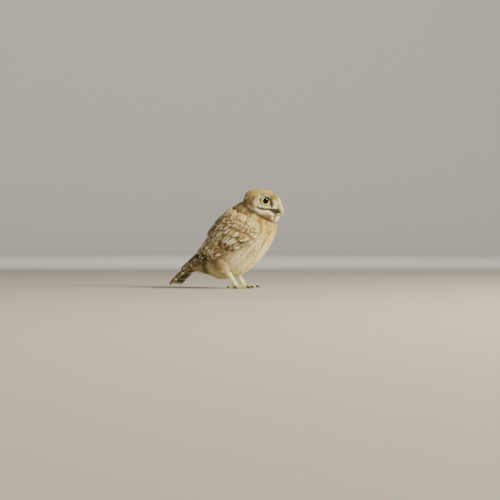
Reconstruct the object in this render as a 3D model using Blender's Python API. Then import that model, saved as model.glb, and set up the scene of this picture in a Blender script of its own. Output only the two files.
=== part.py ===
"""Little owl, a life-size still model standing on a flat floor.

The bird faces +X and stands on Z = 0. Its trunk is one smooth outline in the
mid-plane, swept to the side by a half width, and wings, thighs and tail coverts
are laid on that outline. Sizes are in metres, angles in degrees.
"""

import math

import bmesh
import bpy
from mathutils import Euler, Matrix, Vector

GAP = 0.0003

# The trunk's stations from inside the head to the tail tip: x and z of the back,
# x and z of the belly, and the half width between them.
STATIONS = tuple(
    Vector(row)
    for row in (
        (0.0175, 0.1440, 0.0600, 0.1200, 0.0230),
        (-0.0030, 0.1315, 0.0640, 0.1030, 0.0300),
        (-0.0150, 0.1195, 0.0610, 0.0850, 0.0350),
        (-0.0260, 0.1085, 0.0510, 0.0640, 0.0365),
        (-0.0365, 0.0965, 0.0345, 0.0430, 0.0355),
        (-0.0455, 0.0830, 0.0090, 0.0235, 0.0320),
        (-0.0540, 0.0700, -0.0210, 0.0150, 0.0265),
        (-0.0635, 0.0580, -0.0470, 0.0200, 0.0200),
        (-0.0790, 0.0435, -0.0700, 0.0190, 0.0180),
        (-0.0985, 0.0270, -0.0935, 0.0080, 0.0180),
        (-0.1190, 0.0080, -0.1160, -0.0030, 0.0180),
    )
)
NECK_TOP, NECK_BASE, TAIL_BASE, COVERTS_END = 0.0, 1.35, 7.0, 8.35
CAP_GAP = 0.025

HEAD_CENTRE = Vector((0.0420, 0.0, 0.1345))
HEAD_TURN = Euler((0.0, math.radians(4.0), math.radians(-14.0)))
HEAD_FRONT, HEAD_REAR, HEAD_SIDE = 0.0285, 0.0300, 0.0290
HEAD_TOP, HEAD_UNDER = 0.0224, 0.0250
HEAD_SQUARENESS = 2.3

EYE_CENTRE = Vector((0.0107, 0.0123, 0.0042))
EYE_RADIUS, EYE_DEPTH = 0.0102, 0.0030
EYE_YAW, EYE_PITCH = 37.0, 1.0
EYE_COLUMNS, EYE_ROWS = 22, 7
LID_THICKNESS = 0.0010
LID_WIDTH, LID_HEIGHT = 0.0178, 0.0152

BILL_ROOT = Vector((0.0297, 0.0, -0.0030))
FOOT_X, FOOT_Y = 0.0040, 0.0185
ANKLE = Vector((-0.0095, 0.0180, 0.0275))
TOE_RADIUS = 0.0026

TAIL_ROOT = Vector((-0.0540, 0.0, 0.0580))
TAIL_TIP = Vector((-0.1155, 0.0, 0.0085))

VANE_THICKNESS = 0.00055
# How far along a vane each of its rows lies, and its share of the full width.
VANE_ROWS = ((0.0, 0.5), (0.5, 1.0), (0.85, 0.84), (1.0, 0.24))
LONG_VANE_ROWS = ((0.0, 0.5), (0.28, 0.9), (0.58, 1.0), (0.88, 0.80), (1.0, 0.24))
LONG_VANE = 0.045


def material(name, colour, roughness):
    made = bpy.data.materials.new(name)
    made.use_nodes = True
    shader = made.node_tree.nodes["Principled BSDF"]
    shader.inputs["Base Color"].default_value = (*colour, 1.0)
    shader.inputs["Roughness"].default_value = roughness
    shader.inputs["Metallic"].default_value = 0.0
    made.diffuse_color = (*colour, 1.0)
    return made


def collection(name, shown):
    made = bpy.data.collections.new(name)
    bpy.context.scene.collection.children.link(made)
    made.hide_render = not shown
    return made


def mesh_object(name, points, faces, home):
    """A mesh object of these points and faces, with its faces turned outwards."""
    mesh = bpy.data.meshes.new(name)
    mesh.from_pydata([tuple(p) for p in points], [], faces)
    work = bmesh.new()
    work.from_mesh(mesh)
    bmesh.ops.remove_doubles(work, verts=work.verts, dist=1e-6)
    bmesh.ops.recalc_face_normals(work, faces=work.faces)
    work.to_mesh(mesh)
    work.free()
    made = bpy.data.objects.new(name, mesh)
    home.objects.link(made)
    return made


def lathe_faces(rows, columns):
    """Faces of a grid of rows that closes on itself across, with both ends capped."""
    faces = [
        (
            r * columns + c,
            r * columns + (c + 1) % columns,
            (r + 1) * columns + (c + 1) % columns,
            (r + 1) * columns + c,
        )
        for r in range(rows - 1)
        for c in range(columns)
    ]
    faces.append(tuple(range(columns)))
    faces.append(tuple((rows - 1) * columns + c for c in range(columns)))
    return faces


def smooth_step(low, high, value):
    share = min(max((value - low) / (high - low), 0.0), 1.0)
    return share * share * (3.0 - 2.0 * share)


def bump(value, centre, width):
    return math.exp(-(((value - centre) / width) ** 2))


def along(values, place):
    """A smooth curve through evenly spaced vectors, read at a place counted in steps."""
    last = len(values) - 1
    first = min(max(int(math.floor(place)), 0), last - 1)
    t = place - first
    before, start = values[max(first - 1, 0)], values[first]
    end, after = values[first + 1], values[min(first + 2, last)]
    return (
        start * 2.0
        + (end - before) * t
        + (before * 2.0 - start * 5.0 + end * 4.0 - after) * t**2
        + (start * 3.0 - before - end * 3.0 + after) * t**3
    ) * 0.5


def outline_point(place, around):
    """On the trunk's outline: around is 0 on the back, 90 on the left side and 180 on the belly."""
    back_x, back_z, belly_x, belly_z, half_width = along(STATIONS, place)
    high = (1.0 + math.cos(math.radians(around))) / 2.0
    return Vector(
        (
            belly_x + (back_x - belly_x) * high,
            half_width * math.sin(math.radians(around)),
            belly_z + (back_z - belly_z) * high,
        )
    )


def slopes(place, around):
    """How the outline moves for one station and for one degree."""
    step_place, step_around = 0.02, 1.0
    down = outline_point(place + step_place, around)
    down -= outline_point(place - step_place, around)
    across = outline_point(place, around + step_around)
    across -= outline_point(place, around - step_around)
    return down / (2.0 * step_place), across / (2.0 * step_around)


def trunk_point(place, around, lift=0.0):
    """On or above the trunk's outline, by lift."""
    point = outline_point(place, around)
    if lift == 0.0:
        return point
    down, across = slopes(place, around)
    return point + across.cross(down).normalized() * lift


def step_over(place, around, heading, distance):
    """The place and angle this far away over the outline. A heading of 0 leads to the tail and 90 down the left side."""
    down, across = slopes(place, around)
    place += distance * math.cos(math.radians(heading)) / down.length
    around += distance * math.sin(math.radians(heading)) / across.length
    return place, around


def trunk_loft(name, start, end, rows, columns, home, lift=0.0, dome=False):
    """A length of the trunk as a closed solid. With dome, its tail end is rounded."""
    points = []
    for row in range(rows):
        share = row / (rows - 1)
        place = start + (end - start) * share
        centre = (trunk_point(place, 0.0) + trunk_point(place, 180.0)) / 2.0
        shrink = math.sqrt(max(1.0 - ((share - 0.35) / 0.65) ** 2, 0.03)) if share > 0.35 else 1.0
        for column in range(columns):
            point = trunk_point(place, 360.0 * column / columns, lift)
            if dome:
                point = centre + (point - centre) * shrink
            points.append(point)
    return mesh_object(name, points, lathe_faces(rows, columns), home)


def boolean(target, operation, cutter):
    modifier = target.modifiers.new(operation.title(), "BOOLEAN")
    modifier.operation = operation
    modifier.solver = "EXACT"
    if isinstance(cutter, bpy.types.Collection):
        modifier.operand_type = "COLLECTION"
        modifier.collection = cutter
    else:
        modifier.object = cutter
    return modifier


def keep_largest(mesh):
    """Keeps the largest closed surface of a mesh, and drops scraps and sealed hollows."""
    work = bmesh.new()
    work.from_mesh(mesh)
    work.verts.ensure_lookup_table()
    left, groups = set(work.verts), []
    while left:
        group, edge_of_group = set(), [left.pop()]
        while edge_of_group:
            vert = edge_of_group.pop()
            group.add(vert)
            for edge in vert.link_edges:
                other = edge.other_vert(vert)
                if other in left:
                    left.remove(other)
                    edge_of_group.append(other)
        groups.append(group)
    groups.sort(key=len)
    for group in groups[:-1]:
        bmesh.ops.delete(work, geom=list(group), context="VERTS")
    bmesh.ops.dissolve_degenerate(work, dist=2e-6, edges=work.edges)
    bmesh.ops.triangulate(work, faces=work.faces)
    work.to_mesh(mesh)
    work.free()


def apply_modifiers(target):
    """Bakes a node's cuts and joins into its mesh and keeps one closed body of it."""
    bpy.context.view_layer.update()
    graph = bpy.context.evaluated_depsgraph_get()
    mesh = bpy.data.meshes.new_from_object(target.evaluated_get(graph))
    target.modifiers.clear()
    target.data = mesh
    keep_largest(mesh)
    return target


def join_into(target, pieces):
    """Joins a collection of closed pieces to a node by one union, and removes them."""
    boolean(target, "UNION", pieces)
    apply_modifiers(target)
    for piece in list(pieces.objects):
        bpy.data.objects.remove(piece)
    bpy.data.collections.remove(pieces)
    return target


def cut(target, *cutters):
    for cutter in cutters:
        boolean(target, "DIFFERENCE", cutter)
    return apply_modifiers(target)


def mirrored(source, name, home):
    """The same shape on the bird's other side."""
    mesh = source.data.copy()
    mesh.transform(Matrix.Scale(-1.0, 4, (0.0, 1.0, 0.0)))
    mesh.flip_normals()
    made = bpy.data.objects.new(name, mesh)
    home.objects.link(made)
    return made


def finish(target, finish_material, smooth_angle=40.0):
    target.data.materials.clear()
    target.data.materials.append(finish_material)
    target.data.shade_smooth()
    target.data.set_sharp_from_angle(angle=math.radians(smooth_angle))
    return target


def direction(yaw, pitch):
    """A unit vector: yaw 0 looks forward and 90 to the left, pitch 90 looks up."""
    flat = math.cos(math.radians(pitch))
    return Vector(
        (
            flat * math.cos(math.radians(yaw)),
            flat * math.sin(math.radians(yaw)),
            math.sin(math.radians(pitch)),
        )
    )


def head_radius(way):
    """How far the head's feathers reach from its centre, in a direction."""
    front = HEAD_FRONT if way.x > 0.0 else HEAD_REAR
    height = HEAD_TOP if way.z > 0.0 else HEAD_UNDER
    power = HEAD_SQUARENESS
    radius = (
        abs(way.x / front) ** power + abs(way.y / HEAD_SIDE) ** power + abs(way.z / height) ** power
    ) ** (-1.0 / power)
    yaw = abs(math.degrees(math.atan2(way.y, way.x)))
    pitch = math.degrees(math.asin(max(-1.0, min(1.0, way.z))))
    eye_way = direction(EYE_YAW, 6.0)
    off_eye = math.degrees(Vector((way.x, abs(way.y), way.z)).angle(eye_way))
    # The disc: a dish round each eye, its raised rim at the cheek, and the brow over it.
    dish = -0.0060 * bump(off_eye, 0.0, 28.0)
    rim = 0.0016 * bump(off_eye, 44.0, 9.0) * smooth_step(8.0, -14.0, pitch)
    temple = 0.0010 * bump(yaw, 78.0, 9.0) * bump(pitch, 0.0, 24.0)
    brow = 0.0022 * bump(pitch, 24.0, 9.0) * bump(yaw, 30.0, 34.0)
    bill_ridge = 0.0072 * bump(yaw, 0.0, 18.0) * bump(pitch, 0.0, 32.0)
    chin = 0.0078 * bump(pitch, -42.0, 18.0) * bump(yaw, 0.0, 50.0)
    # The forehead slopes back from the bill, and the back of the crown is full.
    slope = -0.0030 * bump(pitch, 42.0, 20.0) * bump(yaw, 0.0, 62.0)
    nape = 0.0018 * bump(pitch, 42.0, 18.0) * bump(yaw, 150.0, 50.0)
    return radius + dish + rim + temple + brow + bill_ridge + chin + slope + nape


def head_solid(name, home, lift=0.0, columns=36, front_rows=12, rear_rows=6):
    """The head in its own frame. Its rows ring the forward axis, close together over the face."""
    turns = [90.0 * row / front_rows for row in range(1, front_rows + 1)]
    turns += [90.0 + 90.0 * row / rear_rows for row in range(1, rear_rows)]
    points = []
    for turn in turns:
        for column in range(columns):
            roll = 2.0 * math.pi * column / columns
            reach = math.sin(math.radians(turn))
            way = Vector(
                (math.cos(math.radians(turn)), reach * math.cos(roll), reach * math.sin(roll))
            )
            points.append(way * (head_radius(way) + lift))
    faces = lathe_faces(len(turns), columns)[:-2]
    for way, row in ((Vector((1.0, 0.0, 0.0)), 0), (Vector((-1.0, 0.0, 0.0)), len(turns) - 1)):
        points.append(way * (head_radius(way) + lift))
        tip = len(points) - 1
        faces += [
            (tip, row * columns + c, row * columns + (c + 1) % columns) for c in range(columns)
        ]
    # Triangles, so that the head and the space cut for it bend along the same edges.
    faces = [(face[0], face[i], face[i + 1]) for face in faces for i in range(1, len(face) - 1)]
    return mesh_object(name, points, faces, home)


def ball(name, radius, centre, home, columns=28, rows=18):
    work = bmesh.new()
    bmesh.ops.create_uvsphere(work, u_segments=columns, v_segments=rows, radius=radius)
    bmesh.ops.translate(work, verts=work.verts, vec=centre)
    mesh = bpy.data.meshes.new(name)
    work.to_mesh(mesh)
    work.free()
    made = bpy.data.objects.new(name, mesh)
    home.objects.link(made)
    return made


def tube(name, path, widths, heights, home, columns=10, side=Vector((0.0, 1.0, 0.0))):
    """A solid through the points of path with oval sections, each half as wide and high as listed."""
    points = []
    for i, centre in enumerate(path):
        ahead = path[min(i + 1, len(path) - 1)] - path[max(i - 1, 0)]
        across = (side - ahead * side.dot(ahead) / ahead.length_squared).normalized()
        upward = ahead.cross(across).normalized()
        for column in range(columns):
            roll = 2.0 * math.pi * column / columns
            points.append(
                centre
                + across * (widths[i] * math.cos(roll))
                + upward * (heights[i] * math.sin(roll))
            )
    return mesh_object(name, points, lathe_faces(len(path), columns), home)


def bent_path(start, way, turn, length, steps):
    """Points from start that set out along way and turn evenly downwards by turn degrees."""
    points, place = [start.copy()], start.copy()
    level = Vector((way.x, way.y, 0.0)).normalized()
    rise = math.degrees(math.atan2(way.z, Vector((way.x, way.y)).length))
    for step in range(steps):
        pitch = math.radians(rise - turn * (step + 0.5) / steps)
        ahead = level * math.cos(pitch) + Vector((0.0, 0.0, math.sin(pitch)))
        place = place + ahead * (length / steps)
        points.append(place)
    return points


# Vanes

def vane_solid(rows, home):
    """A closed vane from rows of three points, each with the way out of its upper face."""
    points, count = [], len(rows)
    for face in (0.0, -VANE_THICKNESS):
        for row in rows:
            points += [point + outward * face for point, outward in row]
    faces = []
    lower = 3 * count
    for r in range(count - 1):
        for c in range(2):
            a, b = 3 * r + c, 3 * r + c + 1
            d, e = a + 3, b + 3
            # The same diagonal on both faces keeps a curved vane from crossing itself.
            faces += [(a, b, e), (a, e, d)]
            faces += [(lower + a, lower + e, lower + b), (lower + a, lower + d, lower + e)]
        for c in (0, 2):
            a, d = 3 * r + c, 3 * r + c + 3
            faces += [(a, d, lower + d), (a, lower + d, lower + a)]
    for r in (0, count - 1):
        for c in range(2):
            a, b = 3 * r + c, 3 * r + c + 1
            faces += [(a, b, lower + b), (a, lower + b, lower + a)]
    return mesh_object("vane", points, faces, home)


def vane_on_trunk(place, around, heading, length, width, lifts, slant, home):
    """A vane laid over the trunk. lifts are its heights at the root and at the tip, and slant raises its lower edge."""
    rows, walked = [], 0.0
    for share, width_share in LONG_VANE_ROWS if length > LONG_VANE else VANE_ROWS:
        for _ in range(3):
            step = (share * length - walked) / 3.0
            place, around = step_over(place, around, heading, step)
        walked = share * length
        lift = lifts[0] + (lifts[1] - lifts[0]) * smooth_step(0.0, 0.45, share)
        row = []
        for side in (-1.0, 0.0, 1.0):
            reach = side * width * width_share / 2.0
            at, angle = step_over(place, around, heading + 90.0, reach)
            down, across = slopes(at, angle)
            outward = across.cross(down).normalized()
            keel = 0.00025 if side == 0.0 else 0.0
            height = lift + slant * reach + keel + VANE_THICKNESS
            row.append((outline_point(at, angle) + outward * height, outward))
        rows.append(row)
    return vane_solid(rows, home)


def tier(count, first, last, home, slant):
    """Vanes in a row, each blended from the first to the last of the tier: place, around, heading, length, width, root and tip lift."""
    for i in range(count):
        share = i / max(count - 1, 1)
        sizes = [a + (b - a) * share for a, b in zip(first, last)]
        place, around, heading, length, width, root, tip = sizes
        length *= 1.0 + 0.03 * math.sin(2.4 * i + count)
        vane_on_trunk(place, around, heading, length, width, (root, tip), slant, home)


# Place, around, heading, length, width, root lift and tip lift of the first and last vane of each tier.
PRIMARIES = (
    6,
    (4.75, 86.0, -15.0, 0.0800, 0.0120, 0.0013, 0.0013),
    (4.90, 52.0, -3.0, 0.0690, 0.0125, 0.0016, 0.0024),
)
SECONDARIES = (
    7,
    (3.45, 97.0, -12.0, 0.0540, 0.0145, 0.0018, 0.0028),
    (3.30, 17.0, 3.0, 0.0610, 0.0165, 0.0022, 0.0036),
)
GREATER_COVERTS = (
    7,
    (2.50, 118.0, -22.0, 0.0340, 0.0160, 0.0020, 0.0042),
    (2.60, 30.0, 2.0, 0.0340, 0.0170, 0.0026, 0.0052),
)
MEDIAN_COVERTS = (
    6,
    (2.05, 125.0, -18.0, 0.0250, 0.0170, 0.0018, 0.0054),
    (2.05, 38.0, 0.0, 0.0250, 0.0175, 0.0030, 0.0066),
)
SCAPULARS = (
    4,
    (2.05, 46.0, -5.0, 0.0420, 0.0165, 0.0030, 0.0076),
    (2.35, 16.0, 0.0, 0.0430, 0.0165, 0.0026, 0.0062),
)
SHOULDER_FEATHERS = (
    4,
    (1.66, 122.0, -12.0, 0.0190, 0.0185, 0.0012, 0.0054),
    (1.70, 26.0, 2.0, 0.0220, 0.0190, 0.0014, 0.0064),
)
ALULA = (
    2,
    (2.62, 126.0, -26.0, 0.0280, 0.0080, 0.0014, 0.0028),
    (2.52, 121.0, -24.0, 0.0250, 0.0085, 0.0018, 0.0040),
)


def wing_base(name, home):
    """The folded arm and hand: a pad over the flank, thick in the middle and thin at its edges."""
    rows, columns = 9, 9
    start, end = 1.55, 5.35
    outer, inner = [], []
    for row in range(rows):
        share = row / (rows - 1)
        place = start + (end - start) * share
        upper_edge = 16.0 + 8.0 * bump(share, 0.0, 0.15)
        lower_edge = 132.0 - 30.0 * smooth_step(0.25, 0.62, share) - 8.0 * smooth_step(0.62, 1.0, share)
        lower_edge -= 12.0 * bump(share, 0.0, 0.12)
        for column in range(columns):
            across = column / (columns - 1)
            around = upper_edge + (lower_edge - upper_edge) * across
            middle = math.sin(math.pi * min(max(across, 0.0), 1.0)) ** 0.5
            lengthwise = smooth_step(0.0, 0.16, share) * smooth_step(1.0, 0.55, share)
            lift = 0.0010 + 0.0008 * middle * lengthwise
            outer.append(trunk_point(place, around, lift))
            inner.append(trunk_point(place, around, 0.0006))
    points, faces, below = outer + inner, [], rows * columns
    for r in range(rows - 1):
        for c in range(columns - 1):
            a, b = r * columns + c, r * columns + c + 1
            d, e = a + columns, b + columns
            faces += [(a, b, e, d), (below + a, below + d, below + e, below + b)]
    border = [c for c in range(columns)]
    border += [r * columns + columns - 1 for r in range(1, rows)]
    border += [(rows - 1) * columns + c for c in range(columns - 2, -1, -1)]
    border += [r * columns for r in range(rows - 2, 0, -1)]
    for a, b in zip(border, border[1:] + border[:1]):
        faces.append((a, b, below + b, below + a))
    return mesh_object(name, points, faces, home)


def make_wing(name, home):
    """The left wing, folded: its base and all its tiers of feathers as one solid."""
    wing = wing_base(name, home)
    vanes = collection("wing vanes", False)
    for count, first, last in (PRIMARIES, SECONDARIES, GREATER_COVERTS, MEDIAN_COVERTS):
        tier(count, first, last, vanes, 0.11)
    for count, first, last in (SCAPULARS, SHOULDER_FEATHERS, ALULA):
        tier(count, first, last, vanes, 0.10)
    return join_into(wing, vanes)


def make_tail(name, home):
    """The tail coverts, with twelve tail feathers fanned under one another from the middle pair out."""
    tail = trunk_loft(name, TAIL_BASE + CAP_GAP, COVERTS_END, 6, 20, home, dome=True)
    vanes = collection("tail vanes", False)
    axis = (TAIL_TIP - TAIL_ROOT).normalized()
    side = Vector((0.0, 1.0, 0.0))
    upward = axis.cross(side).normalized()
    if upward.z < 0.0:
        upward = -upward
    full_length, width, fan = (TAIL_TIP - TAIL_ROOT).length, 0.0115, 2.3
    for i in range(12):
        out = i - 5.5
        sink = 0.00165 * abs(out) + (0.0002 if out > 0 else 0.0)
        swing = math.radians(fan * out)
        ahead = axis * math.cos(swing) + side * math.sin(swing)
        across = side * math.cos(swing) - axis * math.sin(swing)
        length = full_length * (1.0 - 0.0016 * out**2)
        start = TAIL_ROOT + side * (0.0009 * out) - upward * sink
        rows = []
        for share, width_share in VANE_ROWS:
            centre = start + ahead * (share * length) + upward * (0.010 * share * (1.0 - share))
            row = []
            for edge in (-1.0, 0.0, 1.0):
                reach = edge * width * width_share / 2.0
                keel = 0.0002 if edge == 0.0 else 0.0
                row.append((centre + across * reach + upward * keel, upward))
            rows.append(row)
        vane_solid(rows, vanes)
    return join_into(tail, vanes)


# Head

def make_bill(home):
    """The upper bill, a short hook that bends down over the lower one."""
    ridge = bent_path(BILL_ROOT, direction(0.0, -24.0), 82.0, 0.0170, 7)
    half_widths = (0.0052, 0.0047, 0.0041, 0.0034, 0.0027, 0.0020, 0.0013, 0.0004)
    half_heights = (0.0056, 0.0053, 0.0048, 0.0041, 0.0032, 0.0023, 0.0014, 0.0004)
    upper = tube("bill_upper", ridge, half_widths, half_heights, home, columns=14)
    keel = bent_path(
        BILL_ROOT + Vector((-0.0010, 0.0, -0.0108)), direction(0.0, -20.0), 22.0, 0.0078, 4
    )
    lower_widths = (0.0042, 0.0038, 0.0032, 0.0024, 0.0010)
    lower_heights = (0.0022, 0.0020, 0.0017, 0.0012, 0.0005)
    lower = tube("bill_lower", keel, lower_widths, lower_heights, home, columns=12)
    nostrils = collection("nostrils", False)
    for side in (-1.0, 1.0):
        ball("nostril", 0.0008, BILL_ROOT + Vector((0.0056, 0.0040 * side, -0.0012)), nostrils, 8, 6)
    cut(upper, *list(nostrils.objects))
    for pit in list(nostrils.objects):
        bpy.data.objects.remove(pit)
    return upper, lower


def eye_frame(side):
    """Where an eye sits in the head's frame, turned so that its X looks out."""
    place = Vector((EYE_CENTRE.x, EYE_CENTRE.y * side, EYE_CENTRE.z))
    turn = Euler((0.0, math.radians(-EYE_PITCH), math.radians(EYE_YAW * side)))
    return Matrix.Translation(place) @ turn.to_matrix().to_4x4()


def eye_solid(name, side, home, grow=0.0):
    """The front of an eyeball, cut off behind by a cone, with its rings round the way it looks."""
    radius, reach = EYE_RADIUS + grow, 96.0
    points = [Vector((radius, 0.0, 0.0))]
    for row in range(1, EYE_ROWS + 1):
        turn = math.radians(reach * row / EYE_ROWS)
        for column in range(EYE_COLUMNS):
            roll = 2.0 * math.pi * column / EYE_COLUMNS
            way = Vector((math.cos(turn), math.sin(turn) * math.cos(roll), math.sin(turn) * math.sin(roll)))
            points.append(way * radius)
    base = 1 + (EYE_ROWS - 1) * EYE_COLUMNS
    for column in range(EYE_COLUMNS):
        inner = points[base + column]
        points.append(Vector((-EYE_DEPTH - grow, inner.y * 0.86, inner.z * 0.86)))
    faces = [(0, 1 + c, 1 + (c + 1) % EYE_COLUMNS) for c in range(EYE_COLUMNS)]
    for row in range(EYE_ROWS):
        for c in range(EYE_COLUMNS):
            a = 1 + row * EYE_COLUMNS + c
            b = 1 + row * EYE_COLUMNS + (c + 1) % EYE_COLUMNS
            faces.append((a, a + EYE_COLUMNS, b + EYE_COLUMNS, b))
    faces.append(tuple(1 + EYE_ROWS * EYE_COLUMNS + c for c in range(EYE_COLUMNS)))
    eye = mesh_object(name, points, faces, home)
    eye.data.transform(eye_frame(side))
    return eye


def lid_opening(side, home):
    """The gap between the lids: an oval, flatter above, that widens outwards."""
    half_width, half_height = LID_WIDTH / 2.0, LID_HEIGHT / 2.0
    near, far, columns = 0.0020, 0.0200, 24
    points = []
    for reach in (near, far):
        spread = 1.0 + 22.0 * (reach - 0.0052)
        for column in range(columns):
            roll = 2.0 * math.pi * column / columns
            height = half_height * math.sin(roll)
            if height > 0.0:
                height *= 0.86
            points.append(
                Vector((reach, half_width * math.cos(roll) * spread, height * spread))
            )
    opening = mesh_object("lid opening", points, lathe_faces(2, columns), home)
    opening.data.transform(eye_frame(side))
    return opening


def make_head(name, home, cutters):
    head = head_solid(name, home)
    lids = collection("lids", False)
    for side in (-1, 1):
        eye_solid("lid", side, lids, grow=LID_THICKNESS)
    join_into(head, lids)
    sockets = collection("sockets", False)
    for side in (-1, 1):
        eye_solid("socket", side, sockets, grow=GAP)
        lid_opening(side, sockets)
    return cut(head, *list(sockets.objects)), sockets


# Legs

TOES = (
    # Name, yaw on the left foot, length of the toe and length of its claw.
    ("inner", -22.0, 0.0150, 0.0095),
    ("middle", 8.0, 0.0190, 0.0100),
    ("outer", 68.0, 0.0145, 0.0090),
    ("hind", 178.0, 0.0095, 0.0085),
)
FOOT_HEIGHT = 0.0048


def make_leg(home, cutters, claws):
    """The left thigh, shank, foot and claws."""
    foot_centre = Vector((FOOT_X, FOOT_Y, FOOT_HEIGHT))
    hip = Vector((-0.0195, 0.0285, 0.0425))
    thigh_path = [hip.lerp(ANKLE, t) for t in (-0.28, -0.12, 0.14, 0.4, 0.66, 0.86, 1.0)]
    radii = (0.0025, 0.0062, 0.0105, 0.0112, 0.0094, 0.0070, 0.0052)
    thigh = tube("thigh_left", thigh_path, radii, radii, home, columns=16)

    shank_start = ANKLE + (ANKLE - hip).normalized() * GAP * 1.5
    shank_way = foot_centre + Vector((0.0, 0.0, 0.0016)) - shank_start
    shank_path = [shank_start + shank_way * t for t in (0.0, 0.15, 0.5, 0.82, 1.0)]
    shank_radii = (0.0044, 0.0043, 0.0036, 0.0034, 0.0036)
    shank = tube("shank_left", shank_path, shank_radii, shank_radii, home, columns=12)

    foot = ball("foot_left", 0.0050, Vector((0.0, 0.0, 0.0)), home, columns=12, rows=8)
    foot.data.transform(Matrix.Diagonal((1.05, 0.95, 0.86, 1.0)))
    foot.data.transform(Matrix.Translation(foot_centre - Vector((0.0, 0.0, 0.0008))))
    toes = collection("toes", False)
    claw_solids = []
    for toe_name, yaw, length, claw_length in TOES:
        way = direction(yaw, 0.0)
        # Three pads swell under each toe, and the joints between them are thinner.
        steps = 6
        path, radii = [], []
        for step in range(steps + 1):
            share = step / steps
            arch = 0.0012 * math.sin(math.pi * share)
            path.append(
                Vector((foot_centre.x, foot_centre.y, TOE_RADIUS - 0.0004))
                + way * (length * share)
                + Vector((0.0, 0.0, arch))
            )
            swell = 0.00028 * math.cos(share * 4.0 * math.pi)
            radii.append(TOE_RADIUS * (1.0 - 0.14 * share) + swell)
        tube(toe_name, path, radii, radii, toes, columns=8, side=Vector((-way.y, way.x, 0.0)))
        claw_start = path[-1] + way * -0.0012 + Vector((0.0, 0.0, 0.0004))
        claw_path = bent_path(claw_start, direction(yaw, 26.0), 82.0, claw_length, 5)
        claw_radii = (0.00165, 0.0015, 0.00125, 0.0009, 0.00055, 0.00022)
        across = Vector((-way.y, way.x, 0.0))
        claw_solids.append(
            tube(
                f"claw_left_{toe_name}",
                claw_path,
                claw_radii,
                [r * 1.15 for r in claw_radii],
                claws,
                columns=8,
                side=across,
            )
        )
    join_into(foot, toes)
    return thigh, shank, foot, claw_solids


def box(name, low, high, home):
    work = bmesh.new()
    bmesh.ops.create_cube(work, size=1.0)
    size, centre = high - low, (high + low) / 2.0
    bmesh.ops.scale(work, verts=work.verts, vec=size)
    bmesh.ops.translate(work, verts=work.verts, vec=centre)
    mesh = bpy.data.meshes.new(name)
    work.to_mesh(mesh)
    work.free()
    made = bpy.data.objects.new(name, mesh)
    home.objects.link(made)
    return made


def swollen(source, name, home, by):
    """A copy of a solid with every point pushed out along its normal, to cut a gap round it."""
    mesh = source.data.copy()
    made = bpy.data.objects.new(name, mesh)
    made.matrix_world = source.matrix_world
    home.objects.link(made)
    normals = [vert.normal.copy() for vert in mesh.vertices]
    for vert, normal in zip(mesh.vertices, normals):
        vert.co += normal * by
    return made


def centre_on_origin(nodes):
    """Moves the whole bird along X, so that the origin is under the middle of its box."""
    bpy.context.view_layer.update()
    across = [(node.matrix_world @ vert.co).x for node in nodes for vert in node.data.vertices]
    shift = Matrix.Translation((-(min(across) + max(across)) / 2.0, 0.0, 0.0))
    for node in nodes:
        if node.parent is None:
            node.matrix_world = shift @ node.matrix_world


def build_owl():
    for left_over in list(bpy.data.objects):
        bpy.data.objects.remove(left_over)
    owl = collection("little owl", True)
    cutters = collection("cutters", False)

    plumage = material("plumage", (0.46, 0.35, 0.21), 0.85)
    pale_plumage = material("pale plumage", (0.78, 0.68, 0.48), 0.85)
    flight_plumage = material("flight feathers", (0.36, 0.26, 0.16), 0.7)
    eye_finish = material("iris and cornea", (0.86, 0.80, 0.28), 0.05)
    bill_finish = material("bill horn", (0.68, 0.66, 0.40), 0.35)
    leg_finish = material("shank feathering", (0.85, 0.76, 0.55), 0.8)
    claw_finish = material("claw horn", (0.06, 0.05, 0.04), 0.3)

    torso = trunk_loft("torso", NECK_BASE, TAIL_BASE, 18, 28, owl)
    neck = trunk_loft("neck", NECK_TOP, NECK_BASE - CAP_GAP, 6, 28, owl)
    tail = make_tail("tail", owl)
    wing_left = make_wing("wing_left", owl)

    head, sockets = make_head("head", owl, cutters)
    head_space = head_solid("head space", cutters, lift=GAP * 1.5)
    turn = Matrix.Translation(HEAD_CENTRE) @ HEAD_TURN.to_matrix().to_4x4()
    head.matrix_world = turn
    head_space.matrix_world = turn
    cut(neck, head_space)
    cut(torso, head_space)

    upper, lower = make_bill(owl)
    eyes = [eye_solid("eye_right", -1, owl), eye_solid("eye_left", 1, owl)]
    for piece in (upper, lower, *eyes):
        piece.parent = head
    bpy.context.view_layer.update()
    cut(lower, swollen(upper, "upper bill space", cutters, GAP))
    bill_space = head_solid("bill space", cutters, lift=GAP)
    bill_space.matrix_world = turn
    cut(upper, bill_space)
    cut(lower, bill_space)

    thigh, shank, foot, claws = make_leg(owl, cutters, owl)
    torso_space = trunk_loft("torso space", NECK_BASE, TAIL_BASE + CAP_GAP, 18, 28, cutters, lift=GAP)
    cut(thigh, torso_space)
    shank_space = swollen(shank, "shank space", cutters, GAP)
    below = box("below floor", Vector((-0.3, -0.3, -0.1)), Vector((0.3, 0.3, 0.0)), cutters)
    cut(shank, torso_space, swollen(thigh, "thigh space", cutters, GAP))
    cut(foot, shank_space, below)
    foot_space = swollen(foot, "foot space", cutters, GAP)
    for claw in claws:
        cut(claw, foot_space, below)
    cut(tail, below, torso_space)

    for piece, coat in (
        (torso, pale_plumage),
        (neck, plumage),
        (head, plumage),
        (wing_left, flight_plumage),
        (tail, flight_plumage),
        (upper, bill_finish),
        (lower, bill_finish),
        (eyes[0], eye_finish),
        (eyes[1], eye_finish),
        (thigh, pale_plumage),
        (shank, leg_finish),
        (foot, leg_finish),
        *((claw, claw_finish) for claw in claws),
    ):
        finish(piece, coat)
    for piece in (wing_left, thigh, shank, foot, *claws):
        mirrored(piece, piece.name.replace("left", "right"), owl)

    for cutter in list(cutters.objects) + list(sockets.objects):
        bpy.data.objects.remove(cutter)
    centre_on_origin(list(owl.objects))


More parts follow.
